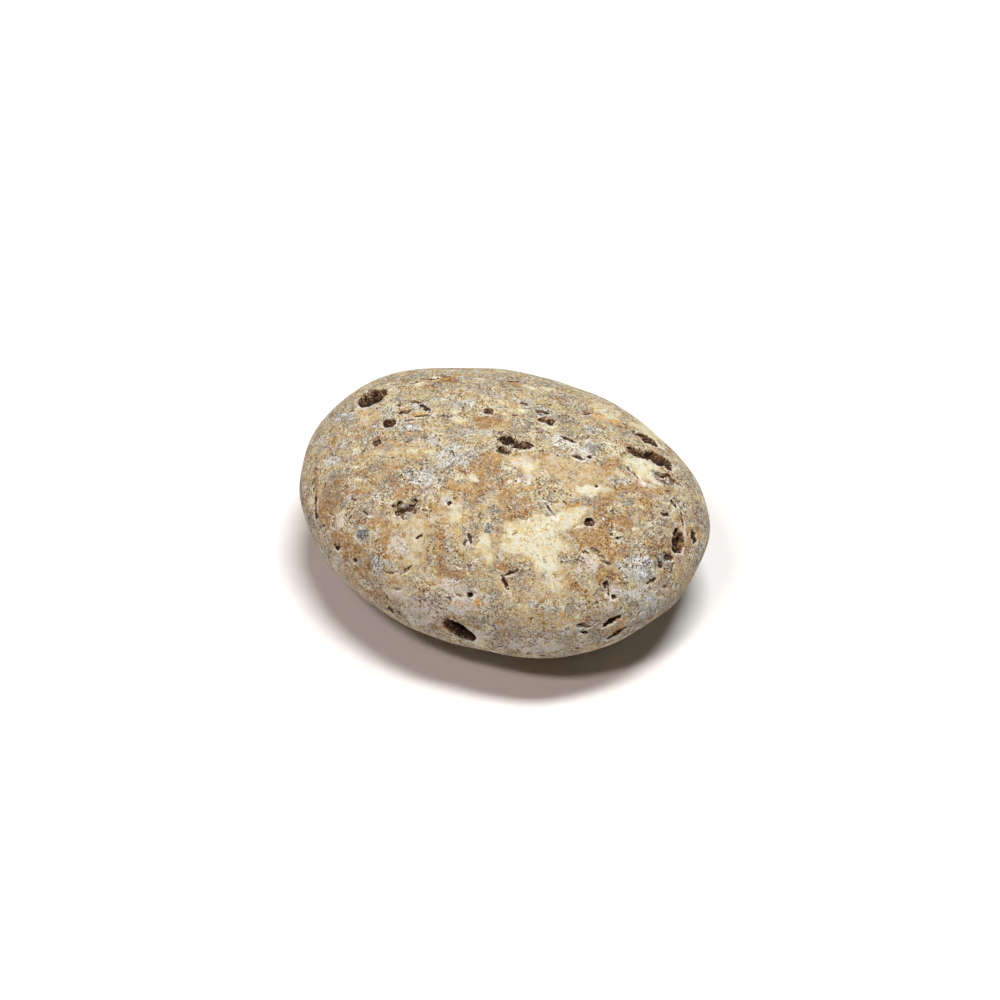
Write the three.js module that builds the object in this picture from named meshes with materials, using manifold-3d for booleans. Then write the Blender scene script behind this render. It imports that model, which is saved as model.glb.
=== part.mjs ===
// A rough medicinal stone: one worn oval pebble of altered porphyry, about 73 x 55 x 32 mm.
// It lies on a small worn flat with its long axis along X. The origin is on the surface that
// it rests on, under the middle of its box. Lengths are in millimetres, angles in degrees.

import * as THREE from "three";
import { mergeVertices } from "three/addons/utils/BufferGeometryUtils.js";
import Module from "manifold-3d";

// Size of the pebble, measured from its heart
const halfLength = 35.5;
const halfWidth = 27;
const halfHeight = 16.5;

// Roundness of the plan and of the side: 2 is an ellipse, more is squarer
const planPower = 2.1;
const sidePower = 2.1;

// The worn flat on the underside takes this much off the height
const restDepth = 0.7;

// Length of a facet's edge
const facetLength = 1.75;

// A hollow's wall is lumpy: lumps per turn, and their height as a share of the hollow's size
const lumpRate = 5;
const lumpHeight = 0.14;

// Broad swells and flats, each at a heading round the heart and an angle above the middle,
// fading out over spread degrees and pushed out by push
const broadForms = [
  { name: "right end nose", heading: 15, rise: 0, spread: 22, push: 1.8 },
  { name: "right end bulge", heading: 350, rise: -6, spread: 8, push: 0.4 },
  { name: "front right bulge", heading: 328, rise: -8, spread: 8, push: 0.4 },
  { name: "front right belly", heading: 310, rise: -15, spread: 26, push: 2 },
  { name: "front belly", heading: 275, rise: -15, spread: 26, push: 1.2 },
  { name: "front left belly", heading: 240, rise: -10, spread: 26, push: 1.6 },
  { name: "left end swell", heading: 200, rise: 0, spread: 26, push: 0.9 },
  { name: "back left swell", heading: 165, rise: 10, spread: 26, push: 1 },
  { name: "back left flat", heading: 135, rise: 15, spread: 22, push: -0.6 },
  { name: "back flat", heading: 110, rise: 20, spread: 22, push: -0.4 },
  { name: "right shoulder flat", heading: 40, rise: 10, spread: 20, push: -0.3 },
];

// Faint waves of the worn skin: wave length, height and the way they run
const skinWaves = [
  { wave: 19, height: 0.1, along: [1, 0.4, 0.5] },
  { wave: 13, height: 0.08, along: [-0.5, 1, 0.4] },
  { wave: 9.5, height: 0.05, along: [0.3, 0.6, -1] },
  { wave: 7, height: 0.04, along: [1, -0.8, 0.3] },
];

// The rock's flow banding runs at this heading in the plan; a hollow's turn is counted from it
const flowHeading = 22;

// Hollows left by weathered crystals: at is a point over the hollow, seen from the heart
const hollows = [
  { name: "half-moon hollow", at: [-26.5, 5, 11.5], long: 5.7, wide: 4.4, deep: 2.4, turn: -5 },
  { name: "left round hole", at: [-20.5, -1.5, 14], long: 2.6, wide: 2, deep: 1.4, turn: -10 },
  { name: "shaded pit", at: [-5, 6, 16], long: 2.4, wide: 2.2, deep: 0.8, turn: 0 },
  { name: "speckled pit", at: [5, 8, 15.5], long: 3.4, wide: 2.4, deep: 0.8, turn: -15 },
  { name: "twin hole", at: [0.5, 0.5, 16.5], long: 2.7, wide: 2.4, deep: 1.7, turn: 5 },
  { name: "twin slot", at: [3.5, 0.5, 16.5], long: 3.6, wide: 1.9, deep: 1.3, turn: 0 },
  { name: "twin ledge", at: [1, -1.5, 16.5], long: 2.4, wide: 1.9, deep: 0.8, turn: 0 },
  { name: "short slot", at: [20.5, 15, 10.5], long: 3.8, wide: 2.8, deep: 1.1, turn: 0 },
  { name: "long slot, left", at: [21, 9.5, 12.5], long: 4.4, wide: 2.4, deep: 1.1, turn: -5 },
  { name: "long slot, right", at: [24.5, 11, 11], long: 6, wide: 3, deep: 1.6, turn: 0 },
  { name: "ragged pit", at: [27.5, 7.5, 10.5], long: 4.4, wide: 2.4, deep: 0.9, turn: -10 },
  { name: "right round hole", at: [19.5, -8.5, 13.5], long: 1.9, wide: 1.8, deep: 1.2, turn: 0 },
  { name: "right end hollow", at: [33, -2, 7], long: 3.6, wide: 3.3, deep: 1.9, turn: 90 },
  { name: "right end pit", at: [35, 1.5, 5], long: 2.3, wide: 1.6, deep: 0.6, turn: -60 },
  { name: "olive pit", at: [-11, -17, 12.5], long: 5, wide: 2.8, deep: 1.1, turn: 10 },
  { name: "crystal slot", at: [22.5, -12.5, 11], long: 3.1, wide: 1.3, deep: 0.9, turn: -40 },
  { name: "brown pit", at: [25.5, -16, 8], long: 2.1, wide: 1.4, deep: 0.9, turn: -65 },
  { name: "upper rim slot", at: [27.5, -18.5, 2], long: 3.6, wide: 1.7, deep: 1, turn: 25 },
  { name: "lower rim slot", at: [28.5, -18.5, -1.5], long: 3.8, wide: 1.6, deep: 1, turn: 25 },
  { name: "grey rim pit", at: [23.5, -21.5, 2.5], long: 2.4, wide: 1.6, deep: 0.6, turn: -10 },
  { name: "deep rim hollow", at: [3.5, -28, -1], long: 6.5, wide: 3.5, deep: 2.6, turn: -30 },
  { name: "front fissure", at: [9.5, -22.5, 9], long: 2.8, wide: 1, deep: 0.8, turn: -65 },
  { name: "dark streak", at: [1.5, -18.5, 12.5], long: 2.4, wide: 1.1, deep: 0.6, turn: -75 },
  { name: "left rim pit", at: [-21.5, -22.5, 3.5], long: 3, wide: 1.3, deep: 0.7, turn: 15 },
  { name: "back hollow", at: [-9, 25, 3], long: 5.2, wide: 3.2, deep: 1.8, turn: 15 },
  { name: "back slot", at: [12, 24, 2], long: 6.4, wide: 1.8, deep: 1.2, turn: -12 },
  { name: "back round hole", at: [-22, 17, 2], long: 2.2, wide: 2, deep: 1.2, turn: 0 },
  { name: "back low pit", at: [6, 21, -9], long: 3.4, wide: 2.4, deep: 1, turn: 30 },
  { name: "left end pit", at: [-34, 5, -2], long: 3, wide: 1.8, deep: 0.9, turn: 60 },
  { name: "under slot", at: [-19, -8, -12], long: 5.2, wide: 1.9, deep: 1.1, turn: -20 },
  { name: "under pit", at: [19, 9, -12], long: 3.6, wide: 2.8, deep: 1.3, turn: 40 },
  { name: "under round hole", at: [17, -15, -10], long: 2.2, wide: 2, deep: 1.2, turn: 0 },
];

// A hollow shorter than this is cut with the coarser of two balls
const smallHollow = 3;

// Colour and finish of the worn stone
const stoneMaterial = new THREE.MeshStandardMaterial({
  color: "#c6b592",
  roughness: 0.85,
  metalness: 0,
});

const wasm = await Module();
wasm.setup();

// Direction of a place given by its heading in the plan and its rise above the middle
function directionOf(heading, rise) {
  const turn = THREE.MathUtils.degToRad(heading);
  const tilt = THREE.MathUtils.degToRad(rise);
  return new THREE.Vector3(
    Math.cos(tilt) * Math.cos(turn),
    Math.cos(tilt) * Math.sin(turn),
    Math.sin(tilt),
  );
}

const formDirections = broadForms.map((form) => directionOf(form.heading, form.rise));
const waveDirections = skinWaves.map((skin) => new THREE.Vector3(...skin.along).normalize());

// Distance from the heart to the skin before the faint waves
function broadReach(direction) {
  const planTerm =
    Math.abs(direction.x / halfLength) ** planPower + Math.abs(direction.y / halfWidth) ** planPower;
  const heightTerm = Math.abs(direction.z / halfHeight) ** sidePower;
  let reach = (planTerm ** (sidePower / planPower) + heightTerm) ** (-1 / sidePower);
  broadForms.forEach((form, index) => {
    const angle = THREE.MathUtils.radToDeg(direction.angleTo(formDirections[index]));
    reach += form.push * Math.exp(-((angle / form.spread) ** 2));
  });
  return reach;
}

// Point of the skin in a direction from the heart
function skinPoint(direction) {
  const reach = broadReach(direction);
  const point = direction.clone().multiplyScalar(reach);
  let wave = 0;
  skinWaves.forEach((skin, index) => {
    const phase = (2 * Math.PI * point.dot(waveDirections[index])) / skin.wave;
    wave += skin.height * Math.sin(phase);
  });
  return direction.clone().multiplyScalar(reach + wave);
}

// Outward normal of the skin, from two short steps across it
function skinNormal(direction) {
  const step = 0.01;
  const side = new THREE.Vector3(0.3, 0.2, 1).cross(direction).normalize();
  const rise = direction.clone().cross(side);
  const here = skinPoint(direction);
  const sideStep = skinPoint(direction.clone().addScaledVector(side, step).normalize()).sub(here);
  const riseStep = skinPoint(direction.clone().addScaledVector(rise, step).normalize()).sub(here);
  return sideStep.cross(riseStep).normalize();
}

// Closed solid from a geometry, with its shared vertices merged
function solidOf(geometry) {
  geometry.deleteAttribute("normal");
  geometry.deleteAttribute("uv");
  const merged = mergeVertices(geometry, 1e-5);
  const vertProperties = new Float32Array(merged.attributes.position.array);
  const triVerts = new Uint32Array(merged.index.array);
  return new wasm.Manifold(new wasm.Mesh({ numProp: 3, vertProperties, triVerts }));
}

// The pebble without its hollows: a box's grid blown up to the skin
function pebbleSolid() {
  const halfSize = new THREE.Vector3(halfLength, halfWidth, halfHeight);
  const segments = halfSize.toArray().map((half) => Math.round((Math.SQRT2 * half) / facetLength));
  const geometry = new THREE.BoxGeometry(2, 2, 2, ...segments);
  const position = geometry.attributes.position;
  const direction = new THREE.Vector3();
  for (let i = 0; i < position.count; i += 1) {
    direction.fromBufferAttribute(position, i);
    direction.set(
      Math.tan((direction.x * Math.PI) / 4),
      Math.tan((direction.y * Math.PI) / 4),
      Math.tan((direction.z * Math.PI) / 4),
    );
    direction.normalize();
    direction.multiply(halfSize);
    const point = skinPoint(direction.normalize());
    position.setXYZ(i, point.x, point.y, point.z);
  }
  return solidOf(geometry);
}

// The lumpy ball that leaves a hollow, with its middle on the skin
function hollowSolid(hollow, index) {
  const direction = new THREE.Vector3(...hollow.at).normalize();
  const normal = skinNormal(direction);
  const along = directionOf(flowHeading, 0);
  along.addScaledVector(normal, -along.dot(normal)).normalize();
  along.applyAxisAngle(normal, THREE.MathUtils.degToRad(hollow.turn));
  const across = normal.clone().cross(along);
  const middle = skinPoint(direction);
  const geometry = new THREE.IcosahedronGeometry(1, hollow.long < smallHollow ? 1 : 2);
  const position = geometry.attributes.position;
  const corner = new THREE.Vector3();
  for (let i = 0; i < position.count; i += 1) {
    corner.fromBufferAttribute(position, i);
    const lump =
      Math.sin(lumpRate * corner.x + index) *
      Math.sin(lumpRate * corner.y - index) *
      Math.cos(lumpRate * corner.z);
    corner.multiplyScalar(1 + lumpHeight * lump);
    const point = middle.clone();
    point.addScaledVector(along, (corner.x * hollow.long) / 2);
    point.addScaledVector(across, (corner.y * hollow.wide) / 2);
    point.addScaledVector(normal, corner.z * hollow.deep);
    position.setXYZ(i, point.x, point.y, point.z);
  }
  return solidOf(geometry);
}

// What lies below the worn flat
function belowFlatSolid() {
  const depth = halfHeight;
  const geometry = new THREE.BoxGeometry(4 * halfLength, 4 * halfWidth, depth);
  geometry.translate(0, 0, restDepth - halfHeight - depth / 2);
  return solidOf(geometry);
}

// The stone: the pebble less its hollows and less what the flat takes off
function stoneMesh() {
  let solid = pebbleSolid();
  hollows.forEach((hollow, index) => {
    solid = solid.subtract(hollowSolid(hollow, index));
  });
  solid = solid.subtract(belowFlatSolid());
  const cut = solid.getMesh();
  const geometry = new THREE.BufferGeometry();
  geometry.setAttribute("position", new THREE.BufferAttribute(cut.vertProperties, 3));
  geometry.setIndex(new THREE.BufferAttribute(cut.triVerts, 1));
  geometry.computeBoundingBox();
  const box = geometry.boundingBox;
  geometry.translate(-(box.min.x + box.max.x) / 2, -(box.min.y + box.max.y) / 2, -box.min.z);
  geometry.computeVertexNormals();
  const mesh = new THREE.Mesh(geometry, stoneMaterial);
  mesh.name = "stone";
  return mesh;
}

const medicinalStone = new THREE.Group();
medicinalStone.add(stoneMesh());

export default medicinalStone;
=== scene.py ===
import functools
import math

import bmesh
import bpy
import numpy as np
from mathutils import Matrix, Vector


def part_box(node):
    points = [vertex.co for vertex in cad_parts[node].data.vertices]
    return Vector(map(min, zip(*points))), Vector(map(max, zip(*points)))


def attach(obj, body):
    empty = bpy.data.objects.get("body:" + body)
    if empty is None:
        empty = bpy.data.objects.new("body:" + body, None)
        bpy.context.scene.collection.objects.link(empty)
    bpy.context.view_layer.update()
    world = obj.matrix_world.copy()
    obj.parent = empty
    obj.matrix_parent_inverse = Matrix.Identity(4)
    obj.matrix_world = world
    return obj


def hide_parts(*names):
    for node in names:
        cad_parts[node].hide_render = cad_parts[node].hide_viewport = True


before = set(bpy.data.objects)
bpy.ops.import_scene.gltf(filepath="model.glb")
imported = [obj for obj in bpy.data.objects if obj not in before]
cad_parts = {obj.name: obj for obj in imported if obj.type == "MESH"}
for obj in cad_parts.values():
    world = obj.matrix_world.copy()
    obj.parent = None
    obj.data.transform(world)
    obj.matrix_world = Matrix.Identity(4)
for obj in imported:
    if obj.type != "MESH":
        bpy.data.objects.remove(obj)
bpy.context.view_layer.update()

# Lengths are in millimetres until a mesh is made, angles in degrees. A place on the stone is
# given by a point over it, seen from the pebble's heart: X along the stone, Z up.
metresPerMm = 0.001


# The pebble: the same rounded form as the CAD solid, with a finer skin

pebble = {
    "halfSize": (35.5, 27.0, 16.5),
    "planPower": 2.1,  # 2 is an ellipse, more is squarer
    "sidePower": 2.1,
    "restDepth": 0.7,  # what the worn flat takes off the underside
    "heart": (0.08, 0.82),  # from the middle of the CAD box
    "flowHeading": 22,  # the rock's banding, which turns are counted from
    "cell": 0.46,  # edge of a cell of the skin
    "fineZones": (0.55, 0.18),  # the skin is halved this near to a hollow's rim, then again
}

broadForms = [  # name, heading, rise, spread, push
    ("right end nose", 15, 0, 22, 1.8),
    ("right end bulge", 350, -6, 8, 0.4),
    ("front right bulge", 328, -8, 8, 0.4),
    ("front right belly", 310, -15, 26, 2),
    ("front belly", 275, -15, 26, 1.2),
    ("front left belly", 240, -10, 26, 1.6),
    ("left end swell", 200, 0, 26, 0.9),
    ("back left swell", 165, 10, 26, 1),
    ("back left flat", 135, 15, 22, -0.6),
    ("back flat", 110, 20, 22, -0.4),
    ("right shoulder flat", 40, 10, 20, -0.3),
]

skinWaves = [  # wave length, height, the way it runs
    (19, 0.1, (1, 0.4, 0.5)),
    (13, 0.08, (-0.5, 1, 0.4)),
    (9.5, 0.05, (0.3, 0.6, -1)),
    (7, 0.04, (1, -0.8, 0.3)),
]

hollows = [  # name, place, long, wide, deep, turn, raggedness, darkness
    ("half-moon hollow", (-26.7, 4.9, 11.5), 5.5, 5.5, 2.6, -26, 0.05, 1),
    ("left round hole", (-20.5, -1.5, 14), 2.4, 1.8, 1.1, -10, 0.05, 0.8),
    ("shaded pit", (-5, 6, 16), 1.7, 1.4, 0.6, 0, 0.1, 0.7),
    ("speckled pit", (5, 8, 15.5), 2.6, 1.7, 0.6, -15, 0.2, 0.6),
    ("twin hole", (0.6, 0.6, 16.5), 2.7, 2.2, 1.5, 5, 0.1, 0.9),
    ("twin slot", (3.3, 0.6, 16.5), 3.6, 1.7, 1, 0, 0.2, 0.7),
    ("twin ledge", (1.1, -1.5, 16.5), 2.4, 1.7, 0.7, 0, 0.22, 0.55),
    ("short slot", (21.2, 15, 10.3), 4.8, 2.7, 1.1, 0, 0.14, 0.8),
    ("long slot, left", (21.2, 9.5, 12.5), 4.5, 2.4, 1.1, -5, 0.14, 0.85),
    ("long slot, right", (25, 11, 10.8), 6.8, 3, 1.6, 0, 0.12, 0.85),
    ("ragged pit", (27.5, 7.5, 10.5), 3.6, 1.6, 0.5, -10, 0.24, 0.3),
    ("right round hole", (19.5, -8.5, 13.5), 1.7, 1.5, 0.8, 0, 0.05, 0.7),
    ("right end hollow", (33, -2, 7), 4.2, 2.6, 1.9, 90, 0.16, 0.85),
    ("right end pit", (35, 1.5, 5), 2.3, 1.6, 0.6, -60, 0.15, 0.7),
    ("olive pit", (-11, -17, 12.5), 4.6, 2.2, 1.1, 10, 0.3, 0.34),
    ("crystal slot", (22.5, -12.5, 11), 3, 0.8, 0.5, -40, 0.12, 0.2),
    ("brown pit", (25.5, -16, 8), 1.2, 1, 0.5, -65, 0.14, 0.7),
    ("upper rim slot", (27.5, -18.5, 2), 3.4, 1.2, 0.8, 25, 0.1, 0.65),
    ("lower rim slot", (28.5, -18.5, -1.5), 3.6, 1, 0.7, 25, 0.1, 0.6),
    ("grey rim pit", (23.5, -21.5, 2.5), 2.2, 1.3, 0.4, -10, 0.2, 0.3),
    ("deep rim hollow", (3.5, -28, -1), 6.5, 3.5, 2.6, -30, 0.07, 1),
    ("front fissure", (9.5, -22.5, 9), 2.8, 0.6, 0.5, -65, 0.14, 0.5),
    ("dark streak", (1.5, -18.5, 12.5), 2.2, 0.7, 0.4, -75, 0.14, 0.4),
    ("left rim pit", (-21.5, -22.5, 3.5), 2.4, 1, 0.5, 15, 0.25, 0.6),
    ("back hollow", (-9, 25, 3), 5.2, 3.2, 1.8, 15, 0.1, 1),
    ("back slot", (12, 24, 2), 6.4, 1.8, 1.2, -12, 0.12, 0.9),
    ("back round hole", (-22, 17, 2), 2.2, 2, 1.2, 0, 0.05, 0.9),
    ("back low pit", (6, 21, -9), 3.4, 2.4, 1, 30, 0.16, 0.8),
    ("left end pit", (-34, 5, -2), 3, 1.8, 0.9, 60, 0.12, 0.9),
    ("under slot", (-19, -8, -12), 5.2, 1.9, 1.1, -20, 0.12, 0.9),
    ("under pit", (19, 9, -12), 3.6, 2.8, 1.3, 40, 0.14, 0.9),
    ("under round hole", (17, -15, -10), 2.2, 2, 1.2, 0, 0.06, 0.9),
    ("rust pit", (-21, -6, 13.5), 1.9, 1.2, 0.3, 5, 0.28, 0.4),
    ("upper crescent", (0, 10.5, 15.5), 1.8, 0.7, 0.4, -20, 0.2, 0.6),
    ("speckled slot", (3.5, 10, 15.5), 2.7, 0.7, 0.35, -15, 0.2, 0.6),
    ("ragged tooth", (27, 8, 10.5), 3.2, 0.9, 0.6, 35, 0.28, 0.6),
    ("ragged corner", (28.5, 8.5, 9.5), 2.7, 0.8, 0.6, -15, 0.28, 0.6),
    ("ragged notch", (27, 6.5, 11), 2.2, 0.7, 0.5, -5, 0.28, 0.6),
    ("ragged speck", (30, 0.5, 10), 1.4, 0.8, 0.5, 10, 0.2, 0.65),
    ("second crystal slot", (24, -13, 10), 2, 0.5, 0.4, -15, 0.16, 0.3),
    ("brown bead", (27, -16.5, 6), 0.9, 0.9, 0.5, 0, 0.16, 0.75),
    ("grey rim slit", (24, -22, 1), 1.5, 0.6, 0.35, -20, 0.2, 0.5),
    ("left front bead", (4.5, -25.5, 6.5), 1, 0.9, 0.6, 0, 0.12, 0.65),
    ("front fissure arm", (10, -21, 10), 2.2, 0.45, 0.35, 20, 0.16, 0.6),
    ("curved crack", (12, -9, 14.5), 1.8, 0.4, 0.4, -55, 0.16, 0.65),
    ("curved crack end", (13.5, -10, 14.5), 1.6, 0.5, 0.4, -55, 0.16, 0.65),
    ("streak arm", (1, -19.5, 12), 1.2, 0.5, 0.3, 55, 0.16, 0.4),
    ("left middle bead", (-4, -14, 14), 0.8, 0.8, 0.4, 0, 0.12, 0.65),
    ("eye slot", (10.5, 14, 13.5), 2.5, 0.5, 0.5, 35, 0.12, 0.65),
    ("upper bead", (-0.5, 7, 16), 1, 0.6, 0.35, 5, 0.16, 0.5),
    ("orange crescent", (-4.5, 16.5, 13), 2.3, 0.7, 0.4, 20, 0.16, 0.65),
    ("top streak", (-20.5, 10, 12.5), 1.9, 0.6, 0.35, 20, 0.2, 0.65),
    ("second top streak", (-18, 12, 12.5), 2.3, 0.6, 0.35, 5, 0.2, 0.65),
    ("sliver", (-18, 4.5, 14.5), 2.2, 0.6, 0.35, -25, 0.28, 0.6),
    ("dark sliver", (-16, 3.5, 15), 3, 0.9, 0.5, -50, 0.25, 0.65),
    ("sliver bead", (-20.5, 3, 14), 0.8, 0.8, 0.35, 0, 0.2, 0.6),
    ("ringed pit", (-18.5, 1.5, 14.5), 2, 0.8, 0.3, -5, 0.28, 0.5),
    ("ringed slit", (-17.5, 0, 15), 1.8, 0.5, 0.35, 5, 0.12, 0.65),
    ("rust slit", (-15.5, 1.5, 15), 3.2, 0.45, 0.35, 5, 0.12, 0.65),
    ("hairline", (21.5, 5, 13.5), 1.6, 0.35, 0.35, -50, 0.2, 0.65),
    ("second hairline", (23, 4.5, 13), 2.2, 0.35, 0.35, -50, 0.2, 0.65),
    ("left low bead", (-17.5, -24.5, 4), 1.1, 0.8, 0.5, 0, 0.16, 0.65),
    ("left crack", (-29, -16, 5.5), 2.5, 0.6, 0.4, -90, 0.2, 0.65),
    ("second left crack", (-28, -17.5, 4), 2.7, 0.9, 0.5, -75, 0.25, 0.65),
    ("left foot pit", (-9.5, -28, -2), 1.4, 1.2, 0.6, -45, 0.2, 0.65),
    ("olive slit", (10, 5.5, 15.5), 2.4, 0.7, 0.5, -30, 0.16, 0.65),
    ("black dot", (18, -1.5, 14.5), 0.6, 0.55, 0.5, 0, 0.05, 0.65),
    ("grey dot", (14.5, 3.5, 15), 0.8, 0.7, 0.5, 0, 0.12, 0.65),
    ("field dot", (23.5, -8.5, 12), 0.5, 0.5, 0.3, 0, 0.12, 0.5),
    ("second field dot", (24.5, -8.5, 11.5), 0.7, 0.5, 0.3, 0, 0.12, 0.5),
    ("crystal slit", (13, 2.5, 15.5), 1.8, 0.7, 0.4, -15, 0.2, 0.65),
    ("end crack", (32.5, 2, 8), 3.4, 0.5, 0.4, -80, 0.2, 0.65),
    ("second end crack", (30.5, 3.5, 9.5), 2.2, 0.45, 0.35, -40, 0.2, 0.65),
    ("rim shade", (31.5, -10.5, 5.5), 2.2, 0.6, 0.35, 25, 0.25, 0.35),
    ("second rim bead", (32, -7.5, 6.5), 0.9, 1.1, 0.4, 0, 0.2, 0.55),
    ("shoulder crack", (26, -16.5, 7), 3.2, 0.3, 0.3, -80, 0.2, 0.6),
    ("hollow foot", (32.5, -5.5, 6.5), 2, 1.1, 0.6, -5, 0.25, 0.6),
    ("lobe crescent", (-7, -20.5, 11), 1.2, 0.4, 0.35, 30, 0.16, 0.5),
    ("lobe line", (-7.5, -25, 7), 2.4, 0.4, 0.22, 40, 0.2, 0.35),
    ("arch fleck", (-21, -16.5, 10), 1.3, 0.5, 0.25, -25, 0.2, 0.4),
    ("arch crack", (-18, -18.5, 10), 1.8, 0.4, 0.22, -35, 0.2, 0.35),
]

strewnPits = {  # small pits on the sides that the photograph doesn't show, and slits between the named ones
    "unseen": dict(count=70, long=(0.7, 2.8), slim=(0.35, 0.95), deep=(0.3, 0.7), dark=0.75, seed=5),
    "seen": dict(count=70, long=(0.6, 1.7), slim=(0.18, 0.42), deep=(0.12, 0.25), dark=0.26, seed=6),
}

strewing = {
    "turns": 30,  # how far pits and patches turn from the banding, in degrees
    "ragged": 0.16,
    "strength": (0.6, 1),  # of patches
    "firstSeed": 21,  # of the patches, each kind has the next
    "overlap": 0.05,  # how far round the edge of the side that shows
}


def unitRows(rows):
    return rows / np.linalg.norm(rows, axis=-1, keepdims=True)


def headingVector(heading, rise):
    turn, tilt = math.radians(heading), math.radians(rise)
    flat = math.cos(tilt)
    return np.array([flat * math.cos(turn), flat * math.sin(turn), math.sin(tilt)])


def skinPoints(directions):
    length, width, height = np.abs(directions.T / np.array(pebble["halfSize"])[:, None])
    plan = length ** pebble["planPower"] + width ** pebble["planPower"]
    side = height ** pebble["sidePower"]
    reach = (plan ** (pebble["sidePower"] / pebble["planPower"]) + side) ** (-1 / pebble["sidePower"])
    for name, heading, rise, spread, push in broadForms:
        nearness = np.clip(directions @ headingVector(heading, rise), -1, 1)
        reach = reach + push * np.exp(-((np.degrees(np.arccos(nearness)) / spread) ** 2))
    points = directions * reach[:, None]
    for wave, height, along in skinWaves:
        phase = 2 * math.pi * (points @ unitRows(np.array(along))) / wave
        reach = reach + height * np.sin(phase)
    return directions * reach[:, None]


def skinFrame(place, turn):  # point on the skin, its normal, and the two ways across it
    step = 0.01
    middle = unitRows(np.array(place, float))
    side = unitRows(np.cross((0.3, 0.2, 1.0), middle))
    rise = np.cross(middle, side)
    around = np.array([middle, middle + step * side, middle + step * rise])
    here, sideStep, riseStep = skinPoints(unitRows(around))
    normal = unitRows(np.cross(sideStep - here, riseStep - here))
    flow = headingVector(pebble["flowHeading"], 0)
    along = unitRows(flow - normal * (flow @ normal))
    across = np.cross(normal, along)
    angle = math.radians(turn)
    along = along * math.cos(angle) + across * math.sin(angle)
    return here, normal, along, np.cross(normal, along)


def softNoise(points, wave, seed, waves=9):  # smooth, with a spread of about 1
    draw = np.random.default_rng(seed)
    ways = unitRows(draw.normal(size=(waves, 3))) * draw.uniform(0.6, 1.5, (waves, 1))
    phases = draw.uniform(0, 2 * math.pi, waves)
    return np.sin(points @ ways.T * (2 * math.pi / wave) + phases).sum(1) / math.sqrt(waves / 2)


def boxGrid(segments):  # the six gridded sides of a box from -1 to 1, as points and quads
    corners, quads = [], []
    for axis in range(3):
        b, c = (axis + 1) % 3, (axis + 2) % 3
        rows, columns = np.meshgrid(np.arange(segments[b] + 1), np.arange(segments[c] + 1), indexing="ij")
        for side in (0, segments[axis]):
            lattice = np.zeros(rows.shape + (3,), int)
            lattice[..., axis], lattice[..., b], lattice[..., c] = side, rows, columns
            number = np.arange(rows.size).reshape(rows.shape) + sum(len(part) for part in corners)
            ring = [number[:-1, :-1], number[1:, :-1], number[1:, 1:], number[:-1, 1:]]
            ring = ring if side else ring[::-1]
            corners.append(lattice.reshape(-1, 3))
            quads.append(np.stack([part.ravel() for part in ring], 1))
    corners, quads = np.concatenate(corners), np.concatenate(quads)
    shared, places = np.unique(corners, axis=0, return_inverse=True)
    return shared / np.array(segments) * 2 - 1, places.reshape(-1)[quads]


def boxToSkin(boxPoints):
    return skinPoints(unitRows(np.tan(boxPoints * math.pi / 4) * np.array(pebble["halfSize"])))


carving = {  # lengths in millimetres
    "outlinePower": 2.3,  # 2 is an ellipse, more is squarer
    "sways": (0.7, 0.7, 0.3),  # waves of the ragged rim, as shares of a hollow's size
    "wallPower": 0.8,  # less makes steeper walls and a flatter floor
    "lumpSize": 0.9,
    "lumpHeight": 0.16,  # as a share of the depth
    "lipDepth": 0.05,  # what is worn off the skin round a rim
    "lipReach": 0.35,  # as a share of the hollow's half width
    "lineOut": 0.15,  # a painted highlight, a pale line where a worn front rim catches the light: how far out from the rim it runs
    "lineWidth": 0.2,  # from its middle to its edge
    "lineFade": 2.2,  # it runs along the front side only, more makes its ends sharper
    "meeting": 0.35,  # walls slide back less where two hollows meet
}


def hollowReach(points, hollow, seed):  # 0 in a hollow's middle, 1 at its ragged rim
    name, place, long, wide, deep, turn, ragged, dark = hollow
    middle, normal, along, across = skinFrame(place, turn)
    offset = points - middle
    far = 0.75 * max(long, wide) + 1  # past the rim and its worn lip
    near = np.flatnonzero((offset**2).sum(1) < far**2)
    offset, size = offset[near], math.sqrt(long * wide)
    waves = enumerate(carving["sways"])
    sway = [ragged * softNoise(points[near], size * share, seed + part) for part, share in waves]
    u = offset @ along / (long / 2) + sway[0] + 0.5 * sway[2]
    v = offset @ across / (wide / 2) + sway[1] - 0.5 * sway[2]
    power = carving["outlinePower"]
    reach = (np.abs(u) ** power + np.abs(v) ** power) ** (1 / power)
    flat = offset - np.outer(offset @ normal, normal)
    return near, reach, flat, normal


def rimDistance(points, pits):  # how far outside the nearest rim, in millimetres
    distance = np.full(len(points), np.inf)
    for index, pit in enumerate(pits):
        near, reach, flat, normal = hollowReach(points, pit, 10 * index)
        distance[near] = np.minimum(distance[near], (reach - 1) * min(pit[2:4]) / 2)
    return distance


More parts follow.
